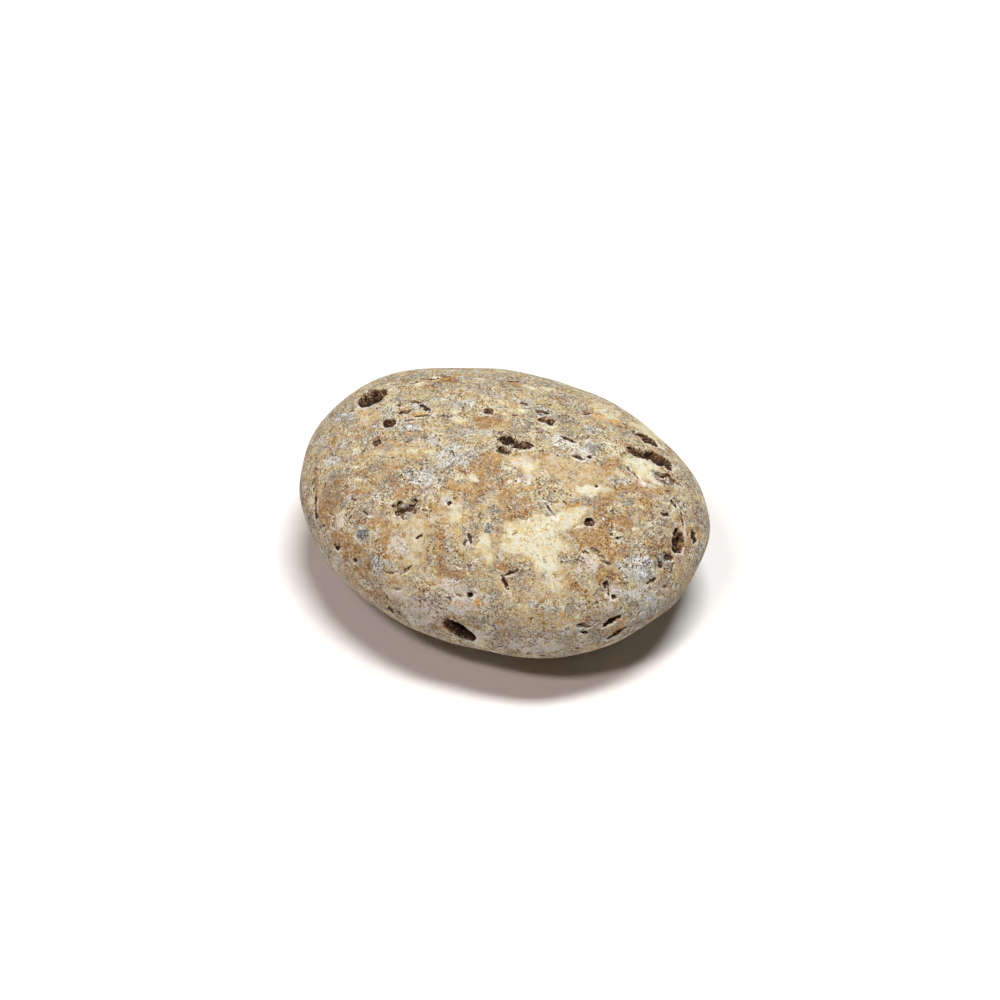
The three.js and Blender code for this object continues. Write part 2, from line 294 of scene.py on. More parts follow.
def carveHollows(points, pits):  # carved points, and what the finish needs to know of the hollows
    deepest, second = np.zeros(len(points)), np.zeros(len(points))
    closeness, darkness = np.full(len(points), -1.0), np.zeros(len(points))
    frontSide, wornLip = np.zeros(len(points)), np.zeros(len(points))
    push, slide = np.zeros((len(points), 3)), np.zeros((len(points), 3))
    front = headingVector(shot["azimuth"] - 90, shot["elevation"] - 90)  # down the photograph
    for index, pit in enumerate(pits):
        name, place, long, wide, deep, turn, ragged, dark = pit
        near, reach, flat, normal = hollowReach(points, pit, 10 * index)
        inside = np.clip(reach, 0.001, 1)
        spread = np.sin(inside * math.pi / 2) ** carving["wallPower"]  # even steps down the wall
        bowl = np.cos(inside * math.pi / 2) ** carving["wallPower"]
        lumps = 1 + carving["lumpHeight"] * softNoise(points[near], carving["lumpSize"], 10 * index + 5)
        lip = carving["lipDepth"] * np.clip((1 - reach) / carving["lipReach"] + 1, 0, 1) ** 2
        depth = deep * bowl * lumps + lip
        closer = 1 - reach > closeness[near]
        closeness[near[closer]] = (1 - reach)[closer]
        darkness[near[closer]] = dark
        toFront = (flat @ front) / (np.linalg.norm(flat, axis=1) + 1e-6)
        # painted shade: how far a point lies to the hollow's front side, for darkening the wall there
        frontSide[near[closer]] = (toFront * np.clip(reach, 0, 1))[closer]
        # painted highlight: a pale line just outside the rim, on the front side only
        wayOut = (reach - 1) * min(long, wide) / 2
        line = np.clip(1 - np.abs(wayOut - carving["lineOut"]) / carving["lineWidth"], 0, 1)
        line = line * np.clip(carving["lineFade"] * toFront, 0, 1) * dark
        wornLip[near] = np.maximum(wornLip[near], line)
        better = depth > deepest[near]
        second[near] = np.where(better, deepest[near], np.maximum(second[near], depth))
        chosen = near[better]
        deepest[chosen] = depth[better]
        push[chosen] = -normal * depth[better][:, None]
        slide[chosen] = (flat * (spread / inside - 1)[:, None])[better]
    own = np.clip((deepest - second) / (carving["meeting"] * deepest + 1e-6), 0, 1)
    marks = {"hollowDepth": deepest, "hollowCloseness": closeness, "hollowDarkness": darkness}
    return points + push + slide * own[:, None], {**marks, "frontSide": frontSide, "wornLip": wornLip}


def seenByCamera(direction):  # above 0 on the side that the photograph shows
    return direction @ headingVector(shot["azimuth"] - 90, shot["elevation"])


def strewPits(side):  # "unseen" keeps to the hidden side, "seen" keeps clear of the named hollows
    given = strewnPits[side]
    draw = np.random.default_rng(given["seed"])
    taken = np.array([skinFrame(pit[1], 0)[0] for pit in hollows])
    reach = np.array([pit[2] / 2 + 1 for pit in hollows])
    pits = []
    while len(pits) < given["count"]:
        direction = unitRows(draw.normal(size=3)) * np.array(pebble["halfSize"])
        long = draw.uniform(*given["long"])
        wide = long * draw.uniform(*given["slim"])
        deep, turn = draw.uniform(*given["deep"]), draw.normal(0, strewing["turns"])
        middle, normal, along, across = skinFrame(direction, 0)
        hidden = seenByCamera(normal) < strewing["overlap"]
        clear = (np.linalg.norm(taken - middle, axis=1) > reach).all()
        if hidden if side == "unseen" else clear and not hidden:
            shape = (long, wide, deep, turn, strewing["ragged"], given["dark"])
            pits.append(("strewn pit", tuple(direction), *shape))
    return pits


shot = {
    "azimuth": 22,
    "elevation": 51,
    "distance": 466.4,
    "lens": 95,
    "sensor": 36,
    "clipStart": 10,
    "aimRight": -0.39,  # from the pebble's heart, across and up the picture
    "aimUp": 0.41,
}


# Patches of mineral, from the photograph: name, place, long, wide, turn, strength

greyCrystals = [
    ("bright lens", (-7, -5.5, 16), 6.2, 4.3, 10, 1),
    ("left of centre", (-10, -11, 14.5), 5.7, 3.2, -10, 0.95),
    ("under round hole", (-16.5, -2, 15), 3.6, 2.1, -10, 0.95),
    ("upper left speck", (-30, 0, 10.5), 4.3, 2.6, -30, 1),
    ("right of twin", (9.5, 4.5, 16), 4.8, 3.4, -10, 0.8),
    ("lower right of twin", (13.5, 3.5, 15.5), 3.5, 3.1, 5, 0.95),
    ("dark dot", (13.5, 6, 15), 1.8, 2.1, 10, 0.9),
    ("great crystal foot", (31, -13.5, 4.5), 7.4, 2.7, -10, 0.85),
    ("left speckled", (-17, -21.5, 8), 3.9, 2.9, 0, 0.95),
    ("left low grey", (-13, -25, 5.5), 3.3, 3.1, 90, 0.9),
    ("left rim mauve", (-28.5, -9.5, 9.5), 4.0, 2.4, -25, 0.85),
    ("beside round hole", (-22, 0, 14), 2.5, 2.0, -15, 0.9),
    ("blue slot", (-17.5, 3.5, 15), 3.9, 2.3, -35, 0.9),
    ("top dark streaks", (0, 11, 15.5), 3.0, 2.3, 10, 0.85),
    ("eye pit crown", (3.5, 10, 15.5), 2.8, 2.8, -10, 0.95),
    ("dark drop", (4, -16, 13.5), 2.3, 1.7, -90, 0.9),
    ("upright dark", (1.5, -19, 12), 2.9, 1.2, -90, 0.9),
    ("left mauve streak", (-21.5, -16, 10), 3.2, 1.1, 5, 0.85),
    ("ring grain", (22, 2.5, 13.5), 2.3, 1.6, 10, 0.85),
    ("ring grain left", (20.5, 0.5, 14), 2.0, 1.4, 10, 0.85),
    ("front grey grain", (23.5, -22, 2), 2.3, 2.6, -10, 0.95),
    ("front pale grain", (21, -23.5, 2), 2.6, 2.1, -5, 0.85),
    ("centre pale", (-4.5, -13.5, 14), 2.8, 1.7, -5, 0.85),
    ("top wash left", (-9.5, 6, 15.5), 4.4, 3.0, -5, 0.7),
    ("low right pale", (32.5, -13, 1.5), 4.0, 4.4, 10, 0.8),
    ("grey wash", (12.5, 9.5, 14.5), 3.9, 2.6, 5, 0.7),
    ("great crystal", (29, -10.5, 8), 6.5, 5.2, -10, 1),
]

mauveWashes = [
    ("band by yellow", (6.5, -17.5, 13), 4.4, 1.7, -90, 0.9),
    ("low band", (0.5, -25.5, 7), 5.3, 1.9, 5, 0.85),
    ("front wash", (17, -25, 2.5), 11.8, 4.9, 0, 0.7),
    ("front left wash", (-5, -27.5, 3), 8.8, 4.7, -15, 0.8),
    ("left rim wash", (-23, -21, 4.5), 7.9, 4.6, -60, 0.6),
    ("top rim wash", (-7, 17, 12.5), 9.8, 5.0, 5, 0.8),
    ("upper left wash", (-28, 7.5, 10.5), 3.9, 3.4, -40, 0.6),
    ("right foot wash", (33.5, -10, 3), 5.3, 4.5, -90, 0.7),
    ("centre wash", (-8.5, -3, 16), 6.5, 2.3, -5, 0.8),
    ("upper wash", (-6.5, 10.5, 15), 7.1, 3.9, -10, 0.8),
    ("right wash", (32.5, -1.5, 8), 3.5, 2.6, 5, 0.5),
    ("centre low wash", (0, -12.5, 15), 3.8, 2.2, -5, 0.6),
    ("lobe foot", (-4.5, -23, 9), 7.1, 2.4, 0, 0.6),
    ("below field", (26, -19, 4), 7.3, 3.0, -10, 0.6),
    ("left speckled shade", (-17, -22, 7.5), 3.8, 2.4, 0, 0.8),
]

rustStains = [
    ("right field", (27, -1, 11.5), 13.7, 8.5, 5, 0.3),
    ("field edge", (20.5, -4, 14), 7.2, 2.1, 60, 0.95),
    ("field brow", (25, 3, 12.5), 11.4, 1.5, 10, 0.9),
    ("strong right", (20.5, -10.5, 12.5), 5.4, 4.6, -15, 0.9),
    ("below strong", (25.5, -14, 9), 6.9, 4.5, 65, 0.95),
    ("corner spot", (19.5, -18.5, 9), 3.0, 2.0, 0, 0.95),
    ("hole lip", (16, -6.5, 14.5), 7.0, 1.5, 15, 0.7),
    ("orange streak", (8, -7, 15.5), 4.5, 1.0, 15, 0.9),
    ("centre brown", (-1, -6, 16.5), 7.8, 4.6, 70, 0.7),
    ("centre knot", (2.5, -8.5, 16), 2.7, 1.7, 0, 0.95),
    ("centre low brown", (5.5, -12, 15), 4.9, 2.7, 90, 1),
    ("upper brown", (-4, 3, 16.5), 5.7, 2.9, 20, 0.7),
    ("brown drift", (-2, -11, 15.5), 6.3, 1.5, -15, 0.9),
    ("arch left", (-25.5, -14.5, 9), 4.8, 3.3, 15, 0.85),
    ("arch brow", (-22, -12, 12), 9.0, 1.2, -5, 0.9),
    ("arch right", (-15.5, -12.5, 13.5), 6.0, 1.4, -60, 0.95),
    ("arch streak", (-22, -16, 10), 6.8, 1.1, 5, 0.8),
    ("left tan", (-26, -16.5, 7), 4.3, 4.0, -90, 1),
    ("left rim line", (-30, -12.5, 7), 9.7, 1.2, -80, 0.8),
    ("left field", (-20.5, -22.5, 4.5), 8.7, 4.5, 15, 0.8),
    ("left low rust", (-16, -24.5, 4.5), 4.8, 4.8, 90, 0.75),
    ("band foot", (0.5, -23.5, 8.5), 5.9, 2.4, 0, 0.6),
    ("left foot rust", (-9.5, -28, -0.5), 5.2, 2.6, -15, 0.6),
    ("top streak", (-16.5, 12, 13), 8.1, 2.3, -15, 0.9),
    ("ring round pale", (-15.5, -3, 15), 4.9, 1.7, 0, 0.8),
    ("half-moon lip", (-25.5, 2, 12.5), 5.1, 1.7, 0, 0.8),
    ("eye rim", (11, 14, 13.5), 5.1, 3.3, 20, 0.6),
    ("slot lip", (24, 9, 12), 6.7, 1.6, -10, 0.5),
    ("twin right", (7, -1.5, 16), 2.6, 2.1, 5, 0.8),
    ("right end rust", (33.5, 1, 7.5), 6.9, 2.4, -80, 0.7),
    ("crescent rim", (-4.5, 16, 13), 2.6, 2.2, 15, 0.95),
    ("rust pit rim", (-21, -6, 13.5), 2.7, 1.9, -15, 0.95),
    ("crystal foot rust", (30.5, -13, 5.5), 5.3, 1.2, -15, 0.7),
    ("front fissure lip", (9.5, -23, 9), 3.4, 1.5, 75, 0.8),
    ("above olive pit", (-13, -14.5, 13), 4.6, 1.9, 0, 0.8),
    ("long rim rust", (4.5, -26.5, 5.5), 5.2, 0.6, -10, 0.7),
    ("end hollow rust", (34, 0, 6.5), 3.8, 2.0, 90, 0.9),
    ("end pit ring", (35.5, 2, 5), 2.8, 3.9, 90, 0.7),
    ("right end low rust", (33, -4, 6.5), 5.0, 2.1, 0, 0.8),
    ("right end shade", (30.5, -5.5, 8.5), 5.3, 3.5, 5, 0.7),
    ("field patch", (24, -5.5, 12.5), 5.3, 3.3, -5, 0.5),
    ("upright band", (-3.5, -19.5, 11.5), 11.0, 1.9, -90, 1),
    ("band head", (-5, -15, 14), 2.4, 2.2, -5, 0.8),
    ("lobe edge", (-13, -21.5, 9.5), 7.6, 1.5, -80, 1),
    ("centre column", (0.5, -15, 14), 5.4, 1.0, 90, 0.7),
    ("centre stain", (8, -11, 15), 3.7, 4.1, 0, 0.7),
    ("right low stain", (31.5, -5.5, 7.5), 4.5, 4.2, -90, 0.8),
    ("beside crystal", (32.5, -8, 6), 5.4, 1.6, -65, 0.9),
    ("end hollow foot", (31.5, -4.5, 8), 4.2, 2.0, 20, 0.9),
    ("right shoulder", (18.5, 4, 14.5), 3.9, 4.1, 0, 0.7),
    ("right of pit", (22, -8.5, 12.5), 3.6, 2.8, 90, 0.8),
    ("below pit rust", (24.5, -10.5, 11), 6.0, 2.5, -5, 0.9),
    ("left of crystal", (26.5, -14.5, 8), 4.4, 1.9, 80, 0.9),
    ("right flank tan", (26, 10, 10.5), 8.2, 3.5, -70, 0.5),
    ("left rim tan", (-26.5, -18, 5), 5.7, 4.3, -60, 0.6),
    ("lobe fleck rust", (-8.5, -21.5, 10), 2.5, 1.0, 15, 0.6),
    ("lobe low rust", (-7, -22.5, 9.5), 2.1, 0.7, 30, 0.5),
    ("right upper tan", (26, 4, 11.5), 4.8, 3.7, 15, 0.4),
]

pearlPatches = [
    ("leaning lens", (21.5, -14, 10.5), 4.5, 2.2, -70, 1),
    ("lens bead", (20.5, -16.5, 10), 1.5, 1.2, 90, 0.9),
    ("crack ridge", (27, -16, 6.5), 3.5, 2.5, -80, 0.9),
    ("mauve lens", (7, -5.5, 16), 3.5, 1.8, 15, 0.9),
    ("small mauve", (14, -8, 14.5), 2.2, 1.7, 5, 1),
    ("front long pale", (5, -26.5, 5.5), 6.9, 2.7, -10, 1),
    ("front pale left", (0.5, -25.5, 7), 5.3, 2.1, 5, 1),
    ("front pale low", (2.5, -27.5, 3.5), 4.8, 1.5, -15, 0.9),
    ("hollow lip", (7.5, -28, -1), 4.9, 2.6, 60, 0.9),
    ("foot pale left", (-2, -28, 1.5), 4.9, 3.7, -10, 0.8),
    ("low mid pale", (13, -27, -1), 4.7, 2.6, 10, 0.7),
    ("left low pale", (-8.5, -27.5, 3), 5.0, 2.2, 15, 0.7),
    ("left foot pale", (-22.5, -19.5, 7), 3.8, 2.3, 70, 0.8),
    ("left rim pale", (-22, -23.5, 0), 6.9, 1.6, 65, 0.9),
    ("left rim bead", (-26, -21, -1), 4.3, 2.4, 75, 0.8),
    ("band mauve", (7.5, -19.5, 11.5), 3.0, 1.3, 90, 0.6),
    ("twin pale", (4.5, -3, 16.5), 4.5, 2.0, 15, 0.7),
    ("left middle pearl", (-5.5, -15, 14), 3.9, 1.8, -5, 0.5),
    ("foot right pale", (33, -12, 1.5), 3.4, 4.2, 5, 0.5),
    ("ragged lip", (25.5, 4, 12), 4.7, 1.1, -5, 0.9),
    # painted light: a pale patch that brightens the low front, standing in for light falling there
    ("painted front light", (20.5, -24.5, -1), 18.9, 3.5, -5, 0.5),
    ("low left front", (-3.5, -28.5, -0.5), 5.3, 3.6, 0, 0.7),
    ("left lobe pearl", (-10, -23, 9), 4.8, 3.8, 20, 1),
    ("lobe shoulder", (-6.5, -17.5, 12.5), 2.8, 2.5, -5, 0.5),
    ("left foot light", (-5, -28.5, 0), 5.9, 5.8, -10, 0.7),
    ("bottom light", (16.5, -26, -2), 11.9, 2.6, 5, 0.8),
    ("front mauve pearl", (5, -26.5, 5.5), 6.4, 2.7, 10, 1),
    ("front mauve bead", (4.5, -26, 6), 5.4, 3.5, 5, 0.7),
    ("hollow crest", (6.5, -28, -1.5), 5.3, 2.1, -65, 1),
]

creamPatches = [
    ("great cream", (12.5, -15.5, 13), 11.2, 8.9, 10, 0.95),
    ("cream bright right", (16, -9.5, 14), 7.0, 3.9, 25, 1),
    ("cream low", (16, -18, 10.5), 6.1, 3.4, 0, 0.85),
    ("cream bright left", (8.5, -16.5, 13), 3.4, 3.0, 90, 1),
    ("right strip", (12.5, -0.5, 15.5), 14.2, 5.4, 0, 0.62),
    ("strip bright", (17, -3, 14.5), 5.8, 2.6, -10, 1),
    ("strip left", (6.5, -4.5, 16), 4.5, 3.1, 15, 0.9),
    ("right cream", (23.5, 6.5, 12.5), 8.4, 4.8, -15, 0.9),
    ("twin foot cream", (4.5, -3, 16.5), 5.8, 2.9, 5, 0.8),
    ("upper left cream", (-17, -6, 14.5), 6.2, 3.9, -10, 0.6),
    ("crystal cream", (-12.5, -7, 15), 7.8, 3.4, -10, 0.5),
    ("arch cream", (-19.5, -14, 11.5), 7.2, 3.4, 0, 0.5),
    ("centre cream", (-2, -15.5, 14), 4.2, 3.9, -5, 0.85),
    ("centre cream low", (-1, -18.5, 12.5), 3.8, 3.4, 0, 0.6),
    ("yellow", (4.5, -19, 12), 6.8, 3.4, -90, 1),
    ("centre light", (-3, -10.5, 15.5), 5.2, 1.9, -5, 0.6),
    ("pale bead cream", (7.5, -12.5, 14.5), 4.4, 2.2, 10, 0.4),
    ("top lens", (-19.5, 10, 13), 3.0, 2.3, 10, 1),
    ("upper middle", (-0.5, 4, 16.5), 5.5, 3.5, 0, 0.6),
    ("left upper", (-21, -8.5, 13), 5.1, 3.3, -15, 0.6),
    ("left streak", (-28.5, -16, 6), 5.6, 1.9, 85, 0.95),
    ("low middle", (15.5, -21.5, 8.5), 9.4, 4.4, 0, 0.6),
    ("low left lobe", (-8.5, -26, 5.5), 6.1, 3.4, -25, 0.5),
    ("far right low", (35.5, -4.5, 2), 8.3, 4.5, -60, 0.6),
    ("right rim buff", (32.5, 7, 7.5), 10.5, 4.2, -85, 0.2),
    # partly the rock's cream, partly painted light brightening the low front
    ("front cream", (21.5, -23, 2.5), 6.8, 2.9, 0, 0.7),
    ("slot lip cream", (24, -13.5, 10), 3.7, 0.7, -35, 1),
    ("slot upper lip", (21, -11.5, 11.5), 2.7, 0.7, -70, 0.8),
    ("upper right buff", (19.5, 20.5, 6.5), 9.1, 4.0, -30, 0.85),
    # painted light: brightens the low front
    ("front middle", (13.5, -25.5, 4), 10.2, 4.2, 5, 0.5),
    ("left of fissure", (11.5, -23, 8.5), 6.8, 3.4, 0, 0.5),
    ("right shoulder light", (20.5, 16.5, 9.5), 6.3, 8.4, -20, 0.85),
    ("left lobe", (-8, -20, 11.5), 8.9, 6.4, 30, 0.7),
    ("ring light", (21, 3, 13.5), 3.8, 2.6, -10, 0.8),
    ("brow light", (19.5, -1, 14), 3.5, 2.0, -5, 0.8),
    ("right rim light", (24.5, 18, 6.5), 7.6, 3.2, 85, 0.3),
    ("low right cream", (18.5, -19.5, 9), 6.8, 3.0, 0, 0.6),
    ("hollow lip crest", (6.5, -28, -1), 4.3, 1.3, -50, 1),
    ("left shoulder light", (-18, -11, 13.5), 5.6, 3.5, -10, 0.4),
    ("shoulder cream", (13, 16.5, 12), 6.4, 7.5, -35, 0.8),
    ("lobe low", (-7, -24, 8.5), 4.7, 3.8, 0, 0.7),
    ("low light", (20, -23, 4), 5.1, 3.8, -5, 0.4),
    ("upper left light", (-25, -1.5, 13), 5.4, 5.3, 5, 0.5),
    ("lobe middle light", (-6.5, -22.5, 9.5), 4.3, 3.4, 0, 0.35),
    ("upper rim light", (-25.5, 0, 12.5), 4.6, 3.9, 15, 0.5),
    ("hollow crest foot", (7, -28, -3.5), 3.9, 2.9, -50, 0.9),
]

amberMarks = [
    ("orange spot", (12, 14.5, 13), 3.2, 2.5, 20, 1),
    ("orange tail", (15, 15, 12.5), 4.0, 1.7, 30, 0.8),
    ("yellow heart", (5, -19.5, 12), 3.1, 2.4, 0, 0.4),
    ("yellow foot", (4.5, -21.5, 10.5), 2.0, 1.6, 90, 0.4),
    ("yellow top", (5, -17.5, 13), 2.0, 1.7, 0, 0.3),
    ("gold crescent", (-4, 16, 13.5), 2.4, 1.7, 15, 1),
    ("top line", (-16, 13, 12.5), 5.6, 1.2, 25, 0.9),
    ("second top line", (-17, 9, 14), 3.9, 1.1, 0, 0.6),
    ("rust slit lip", (-15.5, 2, 15), 4.2, 1.0, 10, 0.9),
    ("round hole rim", (-22, -1, 14), 2.2, 0.9, -90, 0.8),
    ("pale ring", (-16.5, -3, 15), 4.6, 1.1, -20, 0.8),
    ("slit upper lip", (-1, 6.5, 16), 1.6, 1.0, 5, 0.9),
    ("fissure lip", (9, -23, 9), 3.0, 0.9, -75, 0.9),
    ("fissure right lip", (10.5, -23, 8.5), 2.0, 0.7, -80, 0.8),
    ("bead side", (6, -25.5, 6), 1.6, 1.4, 5, 0.9),
    ("white line", (6.5, -26, 5.5), 3.8, 0.6, -5, 0.9),
    ("second white line", (2.5, -26.5, 5), 2.8, 0.6, -10, 0.9),
    ("hole lip", (16.5, -6.5, 14.5), 6.7, 0.9, 20, 0.8),
    ("hole ring", (21, -8.5, 13), 2.1, 1.0, 90, 0.7),
    ("streak", (8, -7, 15.5), 4.5, 0.8, 15, 0.9),
    ("cream streak", (9, -12.5, 14.5), 5.1, 0.5, 0, 0.7),
    ("cream edge", (8.5, -14.5, 14), 3.1, 1.8, 0, 0.35),
    ("crystal foot lip", (31.5, -11, 5.5), 2.9, 0.9, -15, 1),
    ("end pit ring", (35.5, 2.5, 4), 2.5, 1.6, 50, 0.9),
    ("end pit foot", (35.5, 1, 4), 4.2, 0.7, -5, 0.9),
    ("lower slot lip", (29, -18, 0), 3.7, 0.8, 20, 0.9),
    ("slot side lip", (29.5, -17, 1.5), 2.0, 1.0, 35, 0.8),
    ("slot lip", (24.5, -13, 10), 3.7, 0.5, -35, 0.6),
    ("olive pit rim", (-9, -15.5, 13), 2.6, 1.2, -90, 0.8),
    ("olive pit foot", (-10.5, -18.5, 12), 4.2, 0.7, 5, 0.8),
    ("olive pit left", (-13.5, -18, 11.5), 2.1, 1.1, -90, 0.6),
    ("lobe foot", (-10.5, -24, 7.5), 2.5, 1.1, -35, 0.8),
    ("left of crystal", (-12, -8.5, 15), 3.7, 0.8, -15, 0.5),
    ("right of crystal", (-5.5, -10.5, 15), 2.7, 2.1, -90, 0.7),
    ("crystal tail", (-6.5, -12.5, 14.5), 2.9, 0.9, -25, 0.7),
    ("rust pit rim", (-21, -4.5, 13.5), 1.4, 1.2, 25, 0.8),
    ("centre marks", (3, -7, 16), 3.1, 0.8, 10, 0.6),
    ("field corner", (24.5, 2.5, 12.5), 2.5, 0.9, -5, 0.6),
    ("shoulder line", (22, 5, 13), 3.8, 0.7, -45, 0.6),
    ("long slot lip", (25, 9.5, 11.5), 4.2, 0.8, -15, 0.6),
    ("right end gold", (33.5, 0, 7), 1.8, 1.9, 90, 0.7),
    ("right end foot", (32.5, -4, 7), 3.0, 0.7, 20, 0.8),
    ("left gold", (-26, -16, 7.5), 3.2, 0.8, 5, 0.5),
    ("middle gold", (-7.5, -5, 16), 2.4, 0.9, 5, 0.5),
    ("upper gold", (-20, 6, 14), 3.6, 1.0, -5, 0.5),
    ("right upper gold", (12, 8.5, 15), 2.9, 0.8, 15, 0.4),
    ("low gold", (20.5, -22, 5.5), 2.4, 0.6, -5, 0.5),
    ("lower gold", (16.5, -24, 4.5), 3.4, 0.5, -10, 0.5),
    ("front gold", (10.5, -27, 2.5), 2.6, 0.6, 30, 0.5),
]

micaSpots = [
    ("eye pit specks", (3.5, 9.5, 15.5), 2.6, 1.8, -10, 0.9),
    ("dark dot", (13.5, 6, 15), 1.4, 1.3, 10, 0.8),
    ("left speckled", (-17, -21.5, 8), 3.2, 2.2, 0, 0.9),
    ("great crystal shade", (31, -9, 7.5), 3.4, 3.0, -50, 0.45),
    ("ragged specks", (27, 7.5, 11), 4.2, 2.4, -10, 0.8),
    ("blue slot", (-16.5, 3.5, 15), 2.6, 1.4, -45, 0.8),
    ("dark drop", (4, -16, 13.5), 1.8, 1.3, 90, 0.8),
    ("top dark streaks", (0, 11, 15.5), 2.4, 1.3, -20, 0.7),
    ("shaded pit", (-5, 6, 16), 2.4, 1.6, 0, 0.7),
    ("front grain", (23.5, -22, 1.5), 1.6, 1.4, -10, 0.6),
    ("right foot", (32, -7, 7), 2.4, 1.6, 60, 0.5),
    ("left foot", (-13, -25, 5.5), 1.8, 1.6, 90, 0.5),
    ("upper left specks", (-29.5, -1, 11), 2.0, 1.0, -30, 0.6),
    ("olive pit", (-11, -17, 12.5), 4.4, 2.2, 10, 0.6),
    ("right end shade", (32, -6, 7), 3.9, 2.4, 0, 0.6),
    ("crystal specks", (30, -7, 8.5), 3.2, 2.0, 5, 0.5),
    ("right foot shade", (33, -6.5, 5.5), 3.1, 1.7, 0, 0.7),
]

seenPatches = {  # patches, and how wide their soft rim is
    "greyCrystal": (greyCrystals, 0.9),
    "mauveWash": (mauveWashes, 2.2),
    "rustStain": (rustStains, 1.8),
    "creamPatch": (creamPatches, 1.7),
    "pearlPatch": (pearlPatches, 1.0),
    "amberMark": (amberMarks, 0.7),
    "micaSpot": (micaSpots, 0.7),
}

unseenPatches = {  # on the sides that the photograph doesn't show: how many, how long, width as a share
    "greyCrystal": (34, (2, 7), (0.4, 0.9)),
    "mauveWash": (14, (5, 12), (0.4, 0.8)),
    "rustStain": (34, (3, 12), (0.3, 0.9)),
    "creamPatch": (20, (2.5, 8), (0.4, 0.8)),
    "pearlPatch": (22, (1.5, 6), (0.3, 0.8)),
    "amberMark": (40, (1.2, 5), (0.15, 0.6)),
    "micaSpot": (16, (1.4, 3.4), (0.5, 0.9)),
}


def strewPatches(kind, seed):
    count, longs, slims = unseenPatches[kind]
    draw = np.random.default_rng(seed)
    patches = []
    while len(patches) < count:
        direction = unitRows(draw.normal(size=3)) * np.array(pebble["halfSize"])
        long = draw.uniform(*longs)
        wide, turn = long * draw.uniform(*slims), draw.normal(0, strewing["turns"])
        strength = draw.uniform(*strewing["strength"])
        middle, normal, along, across = skinFrame(direction, 0)
        if seenByCamera(normal) < -strewing["overlap"]:
            patches.append(("strewn patch", tuple(direction), long, wide, turn, strength))
    return patches


patchShape = {
    "sways": ((0.7, 0.14), (0.25, 0.09)),  # waves of a patch's outline: size and height as shares of its own
    "depth": 0.35,  # how deep a patch reaches, as a share of its length
}


def patchAmount(points, patches, edge, seed):  # a patch's strength inside its ragged rim, none outside
    bare = np.ones(len(points))
    for index, (name, place, long, wide, turn, strength) in enumerate(patches):
        middle, normal, along, across = skinFrame(place, turn)
        offset = points - middle
        near = np.flatnonzero((offset**2).sum(1) < (0.9 * long + 1) ** 2)  # past its rim
        offset, size = offset[near], math.sqrt(long * wide)
        u, v = offset @ along / (long / 2), offset @ across / (wide / 2)
        for part, (share, height) in enumerate(patchShape["sways"], 1000 * seed + 4 * index):
            u = u + height * softNoise(points[near], share * size + 0.5, part)
            v = v + height * softNoise(points[near], share * size + 0.5, part + 2)
        depth = offset @ normal / (patchShape["depth"] * long + 1)
        inward = (1 - np.sqrt(u**2 + v**2 + depth**2)) * wide / 2
        bare[near] *= 1 - strength * np.clip(0.5 + inward / edge, 0, 1)
    return 1 - bare


def buildStoneMesh():
    pits = hollows + strewPits("unseen") + strewPits("seen")
    half = np.array(pebble["halfSize"])
    segments = [round(math.sqrt(2) * size / pebble["cell"]) for size in half]
    boxPoints, quads = boxGrid(segments)
    mesh = bpy.data.meshes.new("stone")
    mesh.from_pydata(boxPoints.tolist(), [], quads.tolist())
    shape = bmesh.new()
    shape.from_mesh(mesh)
    for zone in pebble["fineZones"]:
        shape.verts.index_update()
        boxPoints = np.array([vertex.co for vertex in shape.verts])
        close = rimDistance(boxToSkin(boxPoints), pits) < zone
        edges = [edge for edge in shape.edges if close[edge.verts[0].index] and close[edge.verts[1].index]]
        bmesh.ops.subdivide_edges(shape, edges=edges, cuts=1, use_grid_fill=True, use_single_edge=True)
    bmesh.ops.triangulate(shape, faces=[face for face in shape.faces if len(face.verts) > 4])
    shape.to_mesh(mesh)
    shape.free()
    boxPoints = np.empty(len(mesh.vertices) * 3)
    mesh.vertices.foreach_get("co", boxPoints)
    boxPoints = boxPoints.reshape(-1, 3)
    layOutCharts(mesh, boxPoints, segments)
    skin = boxToSkin(boxPoints)
    carved, attributes = carveHollows(skin, pits)
    carved[:, 2] = np.maximum(carved[:, 2], pebble["restDepth"] - half[2])
    for seed, (name, (patches, edge)) in enumerate(seenPatches.items(), strewing["firstSeed"]):
        attributes[name] = patchAmount(skin, patches + strewPatches(name, seed), edge, seed)
    for name, values in attributes.items():
        mesh.attributes.new(name, "FLOAT", "POINT").data.foreach_set("value", values.astype(np.float32))
    mesh.vertices.foreach_set("co", ((carved + heart) * metresPerMm).ravel())
    mesh.update()
    mesh.shade_smooth()
    return mesh


